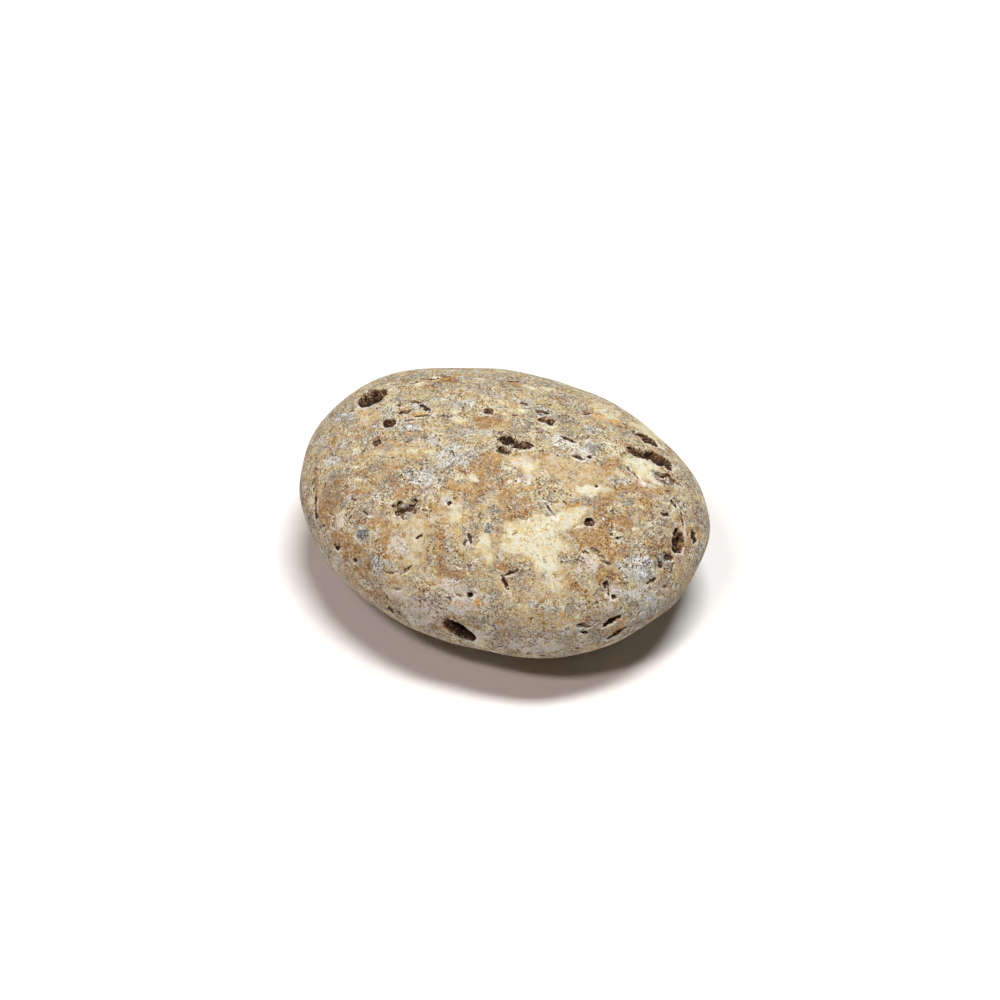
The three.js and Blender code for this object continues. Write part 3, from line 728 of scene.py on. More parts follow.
def layOutCharts(mesh, boxPoints, segments):  # the box's six sides, laid out flat for the bake
    x, y, z = segments
    gap = 3
    charts = {  # side: (corner on the sheet, box axis across, box axis up)
        (2, 1): (0, 0, 1, 0),
        (2, -1): (y + gap, 0, 1, 0),
        (1, 1): (2 * (y + gap), 0, 2, 0),
        (1, -1): (0, x + gap, 0, 2),
        (0, 1): (x + gap, x + gap, 1, 2),
        (0, -1): (0, x + z + 2 * gap, 1, 2),
    }
    sheet = max(2 * y + z + 4 * gap, x + 2 * z + 4 * gap)
    loopCorner = np.empty(len(mesh.loops), int)
    mesh.loops.foreach_get("vertex_index", loopCorner)
    loopTotals = np.empty(len(mesh.polygons), int)
    mesh.polygons.foreach_get("loop_total", loopTotals)
    middles = np.empty(len(mesh.polygons) * 3)
    mesh.polygons.foreach_get("center", middles)
    middles = middles.reshape(-1, 3)
    axes = np.abs(middles).argmax(1)
    sides = np.sign(middles[np.arange(len(axes)), axes]).astype(int)
    loopAxes, loopSides = np.repeat(axes, loopTotals), np.repeat(sides, loopTotals)
    cells = (boxPoints[loopCorner] + 1) / 2 * np.array(segments)
    places = np.zeros((len(loopCorner), 2))
    for (axis, side), (left, low, across, up) in charts.items():
        own = (loopAxes == axis) & (loopSides == side)
        places[own, 0] = left + gap + cells[own, across]
        places[own, 1] = low + gap + cells[own, up]
    mesh.uv_layers.new(name="OFBake").data.foreach_set("uv", (places / sheet).ravel())


# Nodes and colours

# Inputs in their order: noise has a place, W, scale, detail and roughness, and cells a place, W and
# scale. A range has a value, the two limits it is read between and the two it becomes.
noiseNode, cellNode = "ShaderNodeTexNoise", "ShaderNodeTexVoronoi"
rangeNode, mixNode, markNode = "ShaderNodeMapRange", "ShaderNodeMix", "ShaderNodeAttribute"

# Adds a node, or the maths node for an operation's name, and gives one of its outputs, or all of them
# for output=None. Inputs are set or linked in order; a dictionary gives them by name, None skips one.
def addNode(tree, kind, *inputs, output=0, **settings):
    order = range(len(inputs))
    if kind.isupper():
        kind, settings["operation"] = "ShaderNodeMath", kind
    if kind == mixNode:  # these are its sockets for colours
        order, output, settings["data_type"] = (0, 6, 7), 2, "RGBA"
    made = tree.nodes.new(kind)
    for name, value in settings.items():
        setattr(made, name, value)
    given = {}
    for socket, value in zip(order, inputs):
        given.update(value if isinstance(value, dict) else {socket: value})
    for socket, value in given.items():
        if isinstance(value, bpy.types.NodeSocket):
            tree.links.new(value, made.inputs[socket])
        elif value is not None:
            made.inputs[socket].default_value = value
    return made.outputs[output] if made.outputs and output is not None else made.outputs


def linear(hexColour):  # an sRGB hex colour as the linear values that the nodes use
    parts = [int(hexColour[i : i + 2], 16) / 255 for i in (1, 3, 5)]
    parts = [part / 12.92 if part <= 0.04045 else ((part + 0.055) / 1.055) ** 2.4 for part in parts]
    return (*parts, 1.0)


def fillRamp(colour, stops):  # sets the stops of the ramp that a colour comes from
    band = colour.node.color_ramp
    while len(band.elements) < len(stops):
        band.elements.new(1)
    for element, (place, hexColour) in zip(band.elements, stops):
        element.position, element.color = place, linear(hexColour)
    return colour


# An empty Geometry Nodes tree with a named input for each of a piece's settings
def newTree(name, settings):
    tree = bpy.data.node_groups.new(name, "GeometryNodeTree")
    tree.interface.new_socket("Geometry", in_out="INPUT", socket_type="NodeSocketGeometry")
    for setting in settings:
        tree.interface.new_socket(setting, in_out="INPUT", socket_type="NodeSocketFloat")
    tree.interface.new_socket("Material", in_out="INPUT", socket_type="NodeSocketMaterial")
    tree.interface.new_socket("Geometry", in_out="OUTPUT", socket_type="NodeSocketGeometry")
    return tree


# Low relief of the skin and rough walls in the hollows

relief = {
    "Grain size": 1.3 * metresPerMm,
    "Grain height": 0.05 * metresPerMm,
    "Wall start": 0.08,  # the depths in millimetres between which the skin turns to a hollow's wall
    "Wall end": 0.4,
    "Wall size": 0.55 * metresPerMm,
    "Wall height": 0.2 * metresPerMm,
    "Dimple spacing": 3.2 * metresPerMm,
    "Dimple depth": 0.1 * metresPerMm,
    "Seed": 3.0,  # of the grain and the dimples
}


def buildReliefTree():
    tree = newTree("stoneRelief", relief)
    add = functools.partial(addNode, tree)
    given = add("NodeGroupInput", output=None)
    place = add("GeometryNodeInputPosition")
    normal = add("GeometryNodeInputNormal")
    depth = add("GeometryNodeInputNamedAttribute", {"Name": "hollowDepth"}, data_type="FLOAT")
    walls = add(rangeNode, depth, given["Wall start"], given["Wall end"])
    seed = given["Seed"]
    heights = []
    for size, height, share in (("Grain size", "Grain height", None), ("Wall size", "Wall height", walls)):
        scale = add("DIVIDE", 1.0, given[size])
        grain = add(noiseNode, place, seed, scale, 2.0, 0.6, noise_dimensions="4D")
        lift = add("MULTIPLY", add("SUBTRACT", grain, 0.5), given[height])
        heights.append(add("MULTIPLY", lift, share) if share else lift)
    spacing = add("DIVIDE", 1.0, given["Dimple spacing"])
    dimples = add(cellNode, place, seed, spacing, output="Distance", voronoi_dimensions="4D")
    dimple = add(rangeNode, dimples, 0.1, 0.34, -1.0, 0.0, interpolation_type="SMOOTHSTEP")
    heights.append(add("MULTIPLY", dimple, given["Dimple depth"]))
    total = add("ADD", add("ADD", heights[0], heights[1]), heights[2])
    offset = add("ShaderNodeVectorMath", normal, {"Scale": total}, operation="SCALE")
    moved = add("GeometryNodeSetPosition", {"Geometry": given["Geometry"], "Offset": offset})
    whole = add("GeometryNodeRealizeInstances", moved)
    finished = add("GeometryNodeSetMaterial", {"Geometry": whole, "Material": given["Material"]})
    add("NodeGroupOutput", finished)
    return tree


# Crumbs of quartz and feldspar left standing on the walls of the hollows

crumbs = {
    "Wall start": 0.4,  # the depths in millimetres between which crumbs begin to stand
    "Wall end": 0.8,
    "Count per area": 2e6,  # to the square metre of a hollow's wall
    "Smallest": 0.1 * metresPerMm,
    "Largest": 0.32 * metresPerMm,
}


def buildCrumbTree():
    tree = newTree("hollowCrumbs", crumbs)
    add = functools.partial(addNode, tree)
    given = add("NodeGroupInput", output=None)
    depth = add("GeometryNodeInputNamedAttribute", {"Name": "hollowDepth"}, data_type="FLOAT")
    walls = add(rangeNode, depth, given["Wall start"], given["Wall end"])
    density = add("MULTIPLY", walls, given["Count per area"])
    wanted = {"Mesh": given["Geometry"], "Density": density, "Seed": 4}
    spots = add("GeometryNodeDistributePointsOnFaces", wanted, output="Points")
    crumb = add("GeometryNodeMeshIcoSphere", {"Radius": 1.0, "Subdivisions": 1}, output="Mesh")
    bounds = {2: given["Smallest"], 3: given["Largest"], "Seed": 5}
    size = add("FunctionNodeRandomValue", bounds, output=1, data_type="FLOAT")
    bounds = {0: (0.6, 0.6, 0.6), 1: (1.3, 1.1, 1.0), "Seed": 6}
    squash = add("FunctionNodeRandomValue", bounds, data_type="FLOAT_VECTOR")
    scale = add("ShaderNodeVectorMath", squash, {"Scale": size}, operation="SCALE")
    bounds = {0: (0, 0, 0), 1: (6.283,) * 3, "Seed": 7}
    turn = add("FunctionNodeRandomValue", bounds, data_type="FLOAT_VECTOR")
    wanted = {"Points": spots, "Instance": crumb, "Rotation": turn, "Scale": scale}
    whole = add("GeometryNodeRealizeInstances", add("GeometryNodeInstanceOnPoints", wanted))
    finished = add("GeometryNodeSetMaterial", {"Geometry": whole, "Material": given["Material"]})
    add("NodeGroupOutput", finished)
    return tree


def applyTree(piece, tree, values):  # runs a tree on a piece and returns its result as a plain mesh
    modifier = piece.modifiers.new(tree.name, "NODES")
    modifier.node_group = tree
    for item in tree.interface.items_tree:
        if item.in_out == "INPUT" and item.name in values:
            modifier[item.identifier] = values[item.name]
    depsgraph = bpy.context.evaluated_depsgraph_get()
    shown = piece.evaluated_get(depsgraph)
    mesh = bpy.data.meshes.new_from_object(shown, preserve_all_data_layers=True, depsgraph=depsgraph)
    piece.modifiers.remove(modifier)
    return mesh


# Weathered porphyry: a fine, matte, river-worn rock. Buff and cream feldspar clay, rust-brown iron
# stains that soak outward from cracks, grey-white crystals peppered with dark mica, and dark pores.
porphyry = {  # sizes and spacings in millimetres
    "cloudSize": 6.0,  # the largest clouds of light and dark
    "patchySize": 4.0,  # smooth and rough stretches of the skin
    "hueSize": 2.6,  # clouds of honey yellow and mauve grey
    "tintSize": 1.3,  # cool and warm light on the finer clouds
    "mottleSize": 0.6,
    "crispSize": 0.95,  # hard-edged mottle
    "grainSize": 0.8,  # mineral grains
    "speckSize": 0.24,  # the finest grains, about 1.5 px in the photograph
    "toneWeights": (0.53, 0.16, 0.09, 0.56),  # mottle, hard mottle, grains and specks
    "cloudWeight": 0.85,
    "patchiness": (0.72, 1.36),  # how strong the fine tone is on smooth and on rough stretches
    "darkSkew": (3.0, -0.65),  # makes dark grains few but deep
    "warpSize": 1.6,
    "warpReach": 2.0,  # how far patterns are pushed about
    "flowStretch": 0.55,  # patterns are drawn out along the banding
    "rustBandSize": 8.0,
    "umberSize": 2.2,
    "foldSize": 1.5,  # creases in the skin
    "foldPatchSize": 3.3,
    "clastSpacing": 1.9,  # small inclusions
    "veinSpacing": 5.0,
    "skirt": (26, 11),  # the low flanks turn from buff to tan between these heights: partly the rock's own tone, partly painted warm light
    "skirtSway": 30.0,  # how far the clouds move those heights
    "bumpHeight": 0.2,
    "bumpStrength": 0.7,
    "speckHeight": 0.6,  # these three against the height of the tone itself
    "ridgeHeight": 0.5,
    "poreDepth": 1.6,
    "hollowFray": 1.6,  # how far the mottle frays a hollow's edge
    "wallShade": 0.65,  # how much darker a hollow is towards its floor
    "frontShade": 0.35,  # and on its front side
    "roughness": 0.82,
    "ior": 1.5,
    "rustRim": "#9a6c3a",
    "clayRim": "#ad8445",
    "creaseRidge": "#ebe6d6",
    "poreBrown": "#3f2b19",
    "hollowRim": "#80603c",
    "highlightWhite": "#f4f0e8",
}

mineralTones = {  # from the darkest grain to the lightest
    "ground": ("#5f4630", "#a08b68", "#bbaf8c", "#cec4a7", "#eee8d6"),
    "tan": ("#58412e", "#9a7f65", "#bfa98f", "#d8c8b5", "#f5eee4"),
    "honey": ("#7a6032", "#ab9159", "#c2ac78", "#d3c394", "#efe8d0"),
    "mauve": ("#5a453a", "#967d6e", "#b2a193", "#c8bab0", "#ede6e0"),
    "cream": ("#b8ae8c", "#d3cbae", "#dcd6bc", "#e4dfc9", "#efece0"),
    "pearl": ("#988b81", "#bfb3a8", "#d0c6bc", "#ddd5cd", "#f1ede7"),
    "amber": ("#80551f", "#ad7c3a", "#c79852", "#dbb572", "#f0dcae"),
    "rust": ("#4d3018", "#865f38", "#a58259", "#bd9c75", "#dcc3a0"),
    "umber": ("#553a1e", "#85622f", "#9c7842", "#b08d58", "#cfb588"),
    "crystal": ("#453d33", "#9a958c", "#bdbcb6", "#d8d8d6", "#f8f8f7"),
    "mica": ("#161412", "#3f3c38", "#716e69", "#a3a19b", "#e0deda"),
}

toneStops = (0.0, 0.27, 0.5, 0.73, 1.0)
tintStops = [(0.32, "#f0f8ff"), (0.5, "#fcfef6"), (0.68, "#ffedbb")]
# Hollow walls: iron brown, running to near black where painted shade darkens the floor and front side
wallStops = [(0.0, "#0d0805"), (0.25, "#24160b"), (0.45, "#462d16"), (0.65, "#6c4929"), (0.9, "#a08257")]

clasts = [  # small inclusions: tones, and which part of all the cells they take, as a middle and a reach
    ("cream", 0.1, 0.1),
    ("rust", 0.31, 0.1),
    ("crystal", 0.49, 0.06),
    ("mauve", 0.62, 0.06),
]

minerals = [  # attribute, tones, size and height of its patches' frayed edge, where they end and are whole
    ("mauveWash", "mauve", 1.9, 2.0, 0.1, 1.2),
    ("rustStain", "rust", 1.7, 1.7, 0.36, 0.6),
    ("creamPatch", "cream", 1.5, 1.9, 0.32, 0.72),
    ("pearlPatch", "pearl", 1.2, 1.2, 0.4, 0.56),
    ("greyCrystal", "crystal", 0.9, 1.0, 0.38, 0.5),
    ("amberMark", "amber", 0.6, 1.7, 0.3, 0.7),
    ("micaSpot", "mica", 0.7, 2.0, 0.4, 0.6),
]

calming = {"rust": 0.5, "cream": 1.0, "pearl": 1.0, "crystal": 0.45}  # how far each holds back grains and pores

oddGrains = [  # grains of other minerals: from which random number, colour, strength
    (0.0, "#4e3a28", 0.58),
    (0.06, "#946b42", 0.32),
    (0.11, "#9a8882", 0.18),
    (0.2, "#a99d80", 0.0),
    # pale grains: partly white feldspar, partly painted glints
    (0.84, "#efece2", 0.4),
    (0.9, "#d9c28a", 0.22),
    (0.95, "#85795e", 0.18),
]

pores = [  # drawn out along the banding, spacing, reach, softness and raggedness of the edge
    (False, 1.1, 0.17, 0.05, 0.1),
    (True, 1.0, 0.15, 0.05, 0.1),  # flakes of dark mica
    (True, 3.4, 0.13, 0.03, 0.7),  # chips
]


def buildPorphyry():
    material = bpy.data.materials.new("weatheredPorphyry")
    material.use_nodes = True
    tree = material.node_tree
    tree.nodes.clear()
    add = functools.partial(addNode, tree)
    objectPlace = add("ShaderNodeTexCoord", output="Object")
    place = add("ShaderNodeVectorMath", objectPlace, {"Scale": 1 / metresPerMm}, operation="SCALE")
    warp = add(noiseNode, place, None, 1 / porphyry["warpSize"], 3.0, output="Color")
    warp = add("ShaderNodeVectorMath", warp, (-0.5,) * 3, operation="ADD")
    warped = add("ShaderNodeVectorMath", warp, (porphyry["warpReach"],) * 3, place, operation="MULTIPLY_ADD")
    turn = (0, 0, -math.radians(pebble["flowHeading"]))
    banding = {"Rotation": turn, "Scale": (porphyry["flowStretch"], 1, 1)}
    flow = add("ShaderNodeMapping", warped, banding, vector_type="POINT")

    # Tone: clouds, and a fine tone of mottle and grains that is skewed to the dark
    clouds = add(noiseNode, place, None, 1 / porphyry["cloudSize"], 4.0, 0.7)
    mottle = add(noiseNode, warped, None, 1 / porphyry["mottleSize"], 2.0, 0.75)
    crisp = add(rangeNode, add(noiseNode, warped, None, 1 / porphyry["crispSize"], 4.0, 0.75), 0.46, 0.54)
    grains = add(cellNode, warped, None, 1 / porphyry["grainSize"], output="Color")
    grains = add("ShaderNodeSeparateColor", grains, output=None)  # three random numbers for each grain
    specks = add(cellNode, place, None, 1 / porphyry["speckSize"], output="Color")
    specks = add("ShaderNodeSeparateColor", specks, output=None)
    patchy = add(noiseNode, place, None, 1 / porphyry["patchySize"], 2.0, 0.6)
    fineTone = 0.0
    for source, weight in zip((mottle, crisp, grains[0], specks[0]), porphyry["toneWeights"]):
        fineTone = add("MULTIPLY_ADD", source, weight, add("MULTIPLY_ADD", weight, -0.5, fineTone))
    fineTone = add("MULTIPLY", fineTone, add(rangeNode, patchy, 0.42, 0.58, *porphyry["patchiness"]))
    clay = add(markNode, output="Fac", attribute_name="creamPatch")
    fineTone = add("MULTIPLY", fineTone, add(rangeNode, clay, 0.2, 1.0, 1.0, 0.85))  # clay is worn smooth
    dark = add("MAXIMUM", add("MULTIPLY", fineTone, -1.0), 0.0)
    skew = add("MULTIPLY", dark, add("MULTIPLY_ADD", dark, *porphyry["darkSkew"]))
    fineTone = add("SUBTRACT", fineTone, skew)
    tone = add("MULTIPLY_ADD", add("SUBTRACT", clouds, 0.5), porphyry["cloudWeight"], add("ADD", fineTone, 0.5))
    colours = {}
    for name, tones in mineralTones.items():
        colours[name] = fillRamp(add("ShaderNodeValToRGB", tone), list(zip(toneStops, tones)))

    # Ground: buff, tan low on the flanks (partly the rock's tone, partly painted warm light), clouds of honey
    # and mauve, and small inclusions
    hue = add(noiseNode, place, None, 1 / porphyry["hueSize"], 4.0, 0.75)
    hue = add("MULTIPLY_ADD", add("SUBTRACT", grains[2], 0.5), 0.2, hue)
    height = add("ShaderNodeSeparateXYZ", place, output="Z")
    swayed = add("MULTIPLY_ADD", clouds, porphyry["skirtSway"], height)
    skirt = add(rangeNode, swayed, *(limit + porphyry["skirtSway"] / 2 for limit in porphyry["skirt"]))
    colour = add(mixNode, add("MULTIPLY", skirt, 0.9), colours["ground"], colours["tan"])
    colour = add(mixNode, add(rangeNode, hue, 0.5, 0.68, 0.0, 0.5), colour, colours["honey"])
    colour = add(mixNode, add(rangeNode, hue, 0.5, 0.32, 0.0, 0.42), colour, colours["mauve"])
    found = add(cellNode, flow, None, 1 / porphyry["clastSpacing"], output=None)
    kind = add("ShaderNodeSeparateColor", found["Color"])
    clast = add(rangeNode, add("MULTIPLY_ADD", mottle, 1.2, found["Distance"]), 0.95, 1.03, 1.0, 0.0)
    for name, middle, reach in clasts:
        share = add("MULTIPLY", clast, add("COMPARE", kind, middle, reach))
        colour = add(mixNode, share, colour, colours[name])

    # Patches with frayed edges
    calm = 0.0
    for patch, name, size, fray, end, whole in minerals:
        amount = add(markNode, output="Fac", attribute_name=patch)
        bell = add("MULTIPLY", add("MULTIPLY", amount, add("SUBTRACT", 1.05, amount)), 4 * fray)
        edge = add("SUBTRACT", add(noiseNode, flow, None, 1 / size, 4.0, 0.75), 0.5)
        frayed = add("MULTIPLY_ADD", edge, bell, amount)
        share = add("MULTIPLY", add(rangeNode, frayed, end, whole), add(rangeNode, amount, 0.0, 0.9, 0.3, 1.0))
        colour = add(mixNode, share, colour, colours[name])
        rim = add("MULTIPLY", share, add("SUBTRACT", 1.0, share))
        if name == "rust":  # iron gathers along a stain's rim, in bands and in umber clouds
            colour = add(mixNode, add("MULTIPLY", rim, 2.2), colour, linear(porphyry["rustRim"]))
            band = add(noiseNode, warped, None, 1 / porphyry["rustBandSize"], 3.0, 0.6)
            band = add(rangeNode, add("ABSOLUTE", add("SUBTRACT", band, 0.5)), 0.006, 0.03, 0.8, 0.0)
            band = add("MULTIPLY", band, add(rangeNode, clouds, 0.46, 0.54))
            colour = add(mixNode, band, colour, colours["rust"])
            umber = add(noiseNode, flow, None, 1 / porphyry["umberSize"], 3.0, 0.7)
            umber = add("MULTIPLY", share, add(rangeNode, umber, 0.5, 0.62, 0.0, 0.7))
            colour = add(mixNode, umber, colour, colours["umber"])
            honey = add("MULTIPLY", share, add(rangeNode, hue, 0.5, 0.6, 0.0, 0.6))
            colour = add(mixNode, honey, colour, colours["honey"])
        if name == "cream":
            honey = add("MULTIPLY", share, add(rangeNode, hue, 0.52, 0.64, 0.0, 0.35))
            colour = add(mixNode, honey, colour, colours["honey"])
            colour = add(mixNode, add("MULTIPLY", rim, 2.0), colour, linear(porphyry["clayRim"]))
        if name in calming:
            calm = add("MAXIMUM", calm, add("MULTIPLY", share, calming[name]))
    warmth = add(noiseNode, place, None, 1 / porphyry["tintSize"], 3.0, 0.75)
    warmth = add("MULTIPLY_ADD", fineTone, -0.4, warmth)
    tint = fillRamp(add("ShaderNodeValToRGB", warmth), tintStops)
    colour = add(mixNode, 1.0, colour, tint, blend_type="MULTIPLY")

    # Odd grains of other minerals, by a random number that each speck carries; the pale ones are partly white
    # feldspar and partly painted glints
    oddColour, oddShare = add("ShaderNodeValToRGB", specks[1]), add("ShaderNodeValToRGB", specks[1])
    oddColour.node.color_ramp.interpolation = oddShare.node.color_ramp.interpolation = "CONSTANT"
    fillRamp(oddColour, [(start, hexColour) for start, hexColour, strength in oddGrains])
    greys = [(start, round(255 * strength**0.45)) for start, hexColour, strength in oddGrains]
    fillRamp(oddShare, [(start, "#" + 3 * f"{grey:02x}") for start, grey in greys])
    oddShare = add("MULTIPLY", oddShare, add(rangeNode, calm, 0.0, 1.0, 1.0, 0.3))
    colour = add(mixNode, oddShare, colour, oddColour)

    # Dark pores, flakes of mica, veins and creases
    pored = add("MULTIPLY_ADD", calm, -0.16, patchy)
    pitted = 0.0
    for drawnOut, spacing, reach, soft, ragged in pores:
        found = add(cellNode, flow if drawnOut else place, None, 1 / spacing, output=None)
        distance = add("MULTIPLY_ADD", add("SUBTRACT", mottle, 0.5), ragged, found["Distance"])
        chance = add("MULTIPLY_ADD", pored, 2.4, add("ShaderNodeSeparateColor", found["Color"]))
        size = add(rangeNode, chance, 1.65, 2.2, -0.05, reach)
        pitted = add("MAXIMUM", pitted, add(rangeNode, add("SUBTRACT", size, distance), -soft, soft))
    veinScale = 1 / porphyry["veinSpacing"]
    veins = add(cellNode, warped, None, veinScale, output="Distance", feature="DISTANCE_TO_EDGE")
    vein = add("SUBTRACT", add(rangeNode, hue, 0.42, 0.52, 0.022, -0.01), veins)
    vein = add("MULTIPLY", add(rangeNode, vein, 0.0, 0.02, 0.0, 0.7), add("SUBTRACT", 1.0, calm))
    pitted = add("MAXIMUM", pitted, vein)
    fold = add(noiseNode, warped, None, 1 / porphyry["foldSize"], 3.0, 0.6)
    fold = add("ABSOLUTE", add("SUBTRACT", fold, 0.5))
    folded = add(noiseNode, place, None, 1 / porphyry["foldPatchSize"], 2.0, 0.6)
    folded = add("MULTIPLY_ADD", calm, -0.12, folded)
    folded = add(rangeNode, add("MULTIPLY_ADD", skirt, 0.05, folded), 0.5, 0.57)
    crease = add("MULTIPLY", add(rangeNode, fold, 0.008, 0.034, 1.0, 0.0), folded)
    pitted = add("MAXIMUM", pitted, add("MULTIPLY", crease, 0.8))
    ridge = add("MULTIPLY", add(rangeNode, fold, 0.034, 0.066, 1.0, 0.0), folded)
    colour = add(mixNode, add("MULTIPLY", ridge, 0.5), colour, linear(porphyry["creaseRidge"]))
    colour = add(mixNode, pitted, colour, linear(porphyry["poreBrown"]))

    # Pale lips round the hollows, iron-brown walls inside them that are painted darker towards the floor and
    # the front side as painted shade, and a painted highlight along the front rims
    marks = ("hollowCloseness", "hollowDarkness", "frontSide", "wornLip")
    marks = [add(markNode, output="Fac", attribute_name=mark) for mark in marks]
    closeness, darkness, frontSide, wornLip = marks
    rim = add("MULTIPLY_ADD", add("SUBTRACT", mottle, 0.5), porphyry["hollowFray"], closeness)
    lip = add("MULTIPLY", add(rangeNode, rim, -0.5, -0.2), grains[1])
    colour = add(mixNode, add("MULTIPLY", lip, 0.7), colour, colours["cream"])
    brown = add("MULTIPLY", add(rangeNode, rim, -0.12, -0.02, 0.0, 0.8), darkness)
    colour = add(mixNode, brown, colour, linear(porphyry["hollowRim"]))
    # painted shade: the walls are painted darker towards a hollow's floor and its front side, over their iron
    # stain
    shade = add("MULTIPLY", add("MULTIPLY_ADD", frontSide, porphyry["frontShade"], closeness), darkness)
    wallTone = add("MULTIPLY_ADD", shade, -porphyry["wallShade"], add("ADD", tone, 0.12))
    wall = fillRamp(add("ShaderNodeValToRGB", wallTone), wallStops)
    inside = add("MULTIPLY", add(rangeNode, rim, -0.02, 0.06), add(rangeNode, darkness, 0.0, 0.45))
    colour = add(mixNode, inside, colour, wall)
    # painted highlight: a pale line along the front rims
    wornLip = add("MULTIPLY", wornLip, add(rangeNode, mottle, 0.26, 0.42))
    colour = add(mixNode, wornLip, colour, linear(porphyry["highlightWhite"]))

    grainHeight = add("MULTIPLY_ADD", specks[2], porphyry["speckHeight"], tone)
    grainHeight = add("MULTIPLY_ADD", ridge, porphyry["ridgeHeight"], grainHeight)
    grainHeight = add("MULTIPLY_ADD", pitted, -porphyry["poreDepth"], grainHeight)
    distance = porphyry["bumpHeight"] * metresPerMm
    bump = {"Strength": porphyry["bumpStrength"], "Distance": distance, "Height": grainHeight}
    bump = add("ShaderNodeBump", bump)
    finish = {"Base Color": colour, "Roughness": porphyry["roughness"], "IOR": porphyry["ior"], "Normal": bump}
    add("ShaderNodeOutputMaterial", add("ShaderNodeBsdfPrincipled", finish))
    return material


# Crumbs: broken quartz and feldspar, brown with iron in the dark hollows and olive in the pale ones, with
# painted shade taking the darkest hollows' crumbs to near black
crumbTones = {
    "size": 0.5,  # of the clouds of tone, in millimetres
    "stained": [(0.35, "#1e1108"), (0.5, "#452a12"), (0.65, "#7f572f")],
    "olive": [(0.35, "#4e3d22"), (0.5, "#a08a5c"), (0.65, "#e6dcc0")],
    # painted shade: near black for the crumbs of the darkest hollows
    "deepest": "#1a0f07",
    "roughness": 0.6,
    "ior": 1.54,
}


def buildCrumbMaterial():
    material = bpy.data.materials.new("ironStainedQuartz")
    material.use_nodes = True
    tree = material.node_tree
    tree.nodes.clear()
    add = functools.partial(addNode, tree)
    objectPlace = add("ShaderNodeTexCoord", output="Object")
    tone = add(noiseNode, objectPlace, None, 1 / (crumbTones["size"] * metresPerMm), 2.0)
    brown, pale = (fillRamp(add("ShaderNodeValToRGB", tone), crumbTones[name]) for name in ("stained", "olive"))
    darkness = add(markNode, output="Fac", attribute_name="hollowDarkness")
    colour = add(mixNode, add(rangeNode, darkness, 0.4, 0.75), pale, brown)
    # painted shade: crumbs of the darkest hollows go towards near black
    deepest = linear(crumbTones["deepest"])
    colour = add(mixNode, add(rangeNode, darkness, 0.85, 1.0, 0.0, 0.5), colour, deepest)
    finish = {"Base Color": colour, "Roughness": crumbTones["roughness"], "IOR": crumbTones["ior"]}
    add("ShaderNodeOutputMaterial", add("ShaderNodeBsdfPrincipled", finish))
    return material


def keepOffFloor(mesh):
    places = np.empty(len(mesh.vertices) * 3)
    mesh.vertices.foreach_get("co", places)
    places[2::3] = np.maximum(places[2::3], low.z)
    mesh.vertices.foreach_set("co", places)


def addPiece(name, content):
    piece = bpy.data.objects.new(name, content)
    bpy.context.scene.collection.objects.link(piece)
    return piece


low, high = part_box("stone")
heart = np.array([
    (low.x + high.x) / 2 / metresPerMm + pebble["heart"][0],
    (low.y + high.y) / 2 / metresPerMm + pebble["heart"][1],
    low.z / metresPerMm + pebble["halfSize"][2] - pebble["restDepth"],
])
draft = addPiece("stoneDraft", buildStoneMesh())
print("skin carved:", len(draft.data.polygons), "faces")

rock = buildPorphyry()
stone = addPiece("stone_skin", applyTree(draft, buildReliefTree(), {**relief, "Material": rock}))
keepOffFloor(stone.data)
bpy.data.objects.remove(draft)
print("relief made:", sum(len(face.vertices) - 2 for face in stone.data.polygons), "triangles")

crumbMesh = applyTree(stone, buildCrumbTree(), {**crumbs, "Material": buildCrumbMaterial()})
hollowCrumbs = addPiece("hollow_crumbs", crumbMesh)
keepOffFloor(hollowCrumbs.data)
print("crumbs strewn:", len(hollowCrumbs.data.polygons), "faces")

for piece in (stone, hollowCrumbs):
    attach(piece, "root")
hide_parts("stone")


# White paper floor, two soft boxes, and a dim room

studio = {
    "floorRadius": 900,
    "floorCorners": 96,
    "paper": "#e6e5e3",
    "paperRoughness": 0.95,
    "paperShine": 0.1,
    "lightDistance": 2200,
    "roomLight": 0.03,
    "backdrop": 0.95,  # the wall's brightness, for the camera alone
}

softBoxes = [  # name, tilt to the picture's right and back, angular width and depth, watts, colour
    ("overheadBox", 7.2, 5.7, 22, 9, 54, "#ffffff"),
    ("fillBox", -20, -16.5, 13, 6, 16.9, "#ffe8e4"),
]


def pictureRight():
    return headingVector(shot["azimuth"], 0)


def pictureBack():
    return headingVector(shot["azimuth"] + 90, 0)


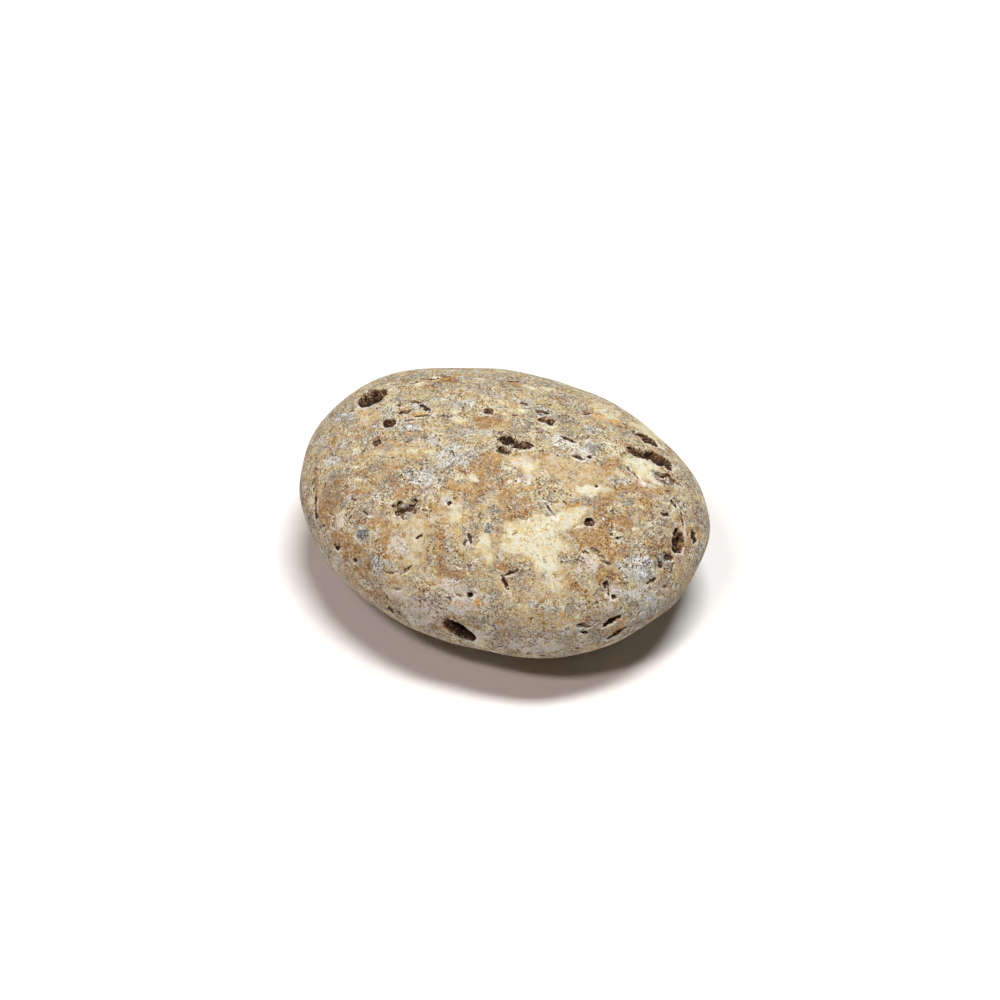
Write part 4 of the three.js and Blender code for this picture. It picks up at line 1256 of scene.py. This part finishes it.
def buildFloor():
    mesh = bpy.data.meshes.new("floor")
    shape = bmesh.new()
    corners, radius = studio["floorCorners"], studio["floorRadius"] * metresPerMm
    bmesh.ops.create_circle(shape, cap_ends=True, segments=corners, radius=radius)
    shape.to_mesh(mesh)
    shape.free()
    floor = addPiece("floor", mesh)
    paper = bpy.data.materials.new("mattPaper")
    paper.use_nodes = True
    paper.node_tree.nodes.clear()
    add = functools.partial(addNode, paper.node_tree)
    finish = {"Base Color": linear(studio["paper"]), "Roughness": studio["paperRoughness"]}
    shader = add("ShaderNodeBsdfPrincipled", {**finish, "Specular IOR Level": studio["paperShine"]})
    add("ShaderNodeOutputMaterial", shader)
    mesh.materials.append(paper)


def buildLights():
    aim = Vector(heart * metresPerMm)
    distance = studio["lightDistance"] * metresPerMm
    for name, right, back, wide, deep, watts, colour in softBoxes:
        way = np.array([0, 0, 1.0]) + math.tan(math.radians(right)) * pictureRight()
        way = unitRows(way + math.tan(math.radians(back)) * pictureBack())
        lamp = bpy.data.lights.new(name, "AREA")
        lamp.shape = "RECTANGLE"
        lamp.size = 2 * distance * math.tan(math.radians(wide / 2))
        lamp.size_y = 2 * distance * math.tan(math.radians(deep / 2))
        lamp.energy, lamp.color = watts, linear(colour)[:3]
        way = Vector(way)
        across = Vector(pictureRight())
        across = (across - way * across.dot(way)).normalized()
        addPiece(name, lamp).matrix_world = matrixOf(across, way.cross(across), way, aim + way * distance)
    world = bpy.data.worlds.new("room")
    bpy.context.scene.world = world
    world.use_nodes = True
    tree = world.node_tree
    tree.nodes.clear()
    add = functools.partial(addNode, tree)
    seen = add("ShaderNodeLightPath", output="Is Camera Ray")
    room = add("ShaderNodeBackground", (1, 1, 1, 1), studio["roomLight"])
    wall = add("ShaderNodeBackground", (1, 1, 1, 1), studio["backdrop"])
    add("ShaderNodeOutputWorld", add("ShaderNodeMixShader", seen, room, wall))


def matrixOf(x, y, z, place):
    turned = Matrix((x, y, z)).transposed().to_4x4()
    turned.translation = place
    return turned


def buildCamera():
    lens = bpy.data.cameras.new("camera")
    lens.lens, lens.sensor_width = shot["lens"], shot["sensor"]
    lens.clip_start = shot["clipStart"] * metresPerMm
    camera = addPiece("camera", lens)
    back = Vector(headingVector(shot["azimuth"] - 90, shot["elevation"]))
    right = Vector(pictureRight())
    up = back.cross(right)
    aim = Vector(heart) + right * shot["aimRight"] + up * shot["aimUp"]
    camera.matrix_world = matrixOf(right, up, back, (aim + back * shot["distance"]) * metresPerMm)
    bpy.context.scene.camera = camera


buildFloor()
buildLights()
buildCamera()
bpy.context.scene.view_settings.view_transform = "Standard"
print("studio ready")
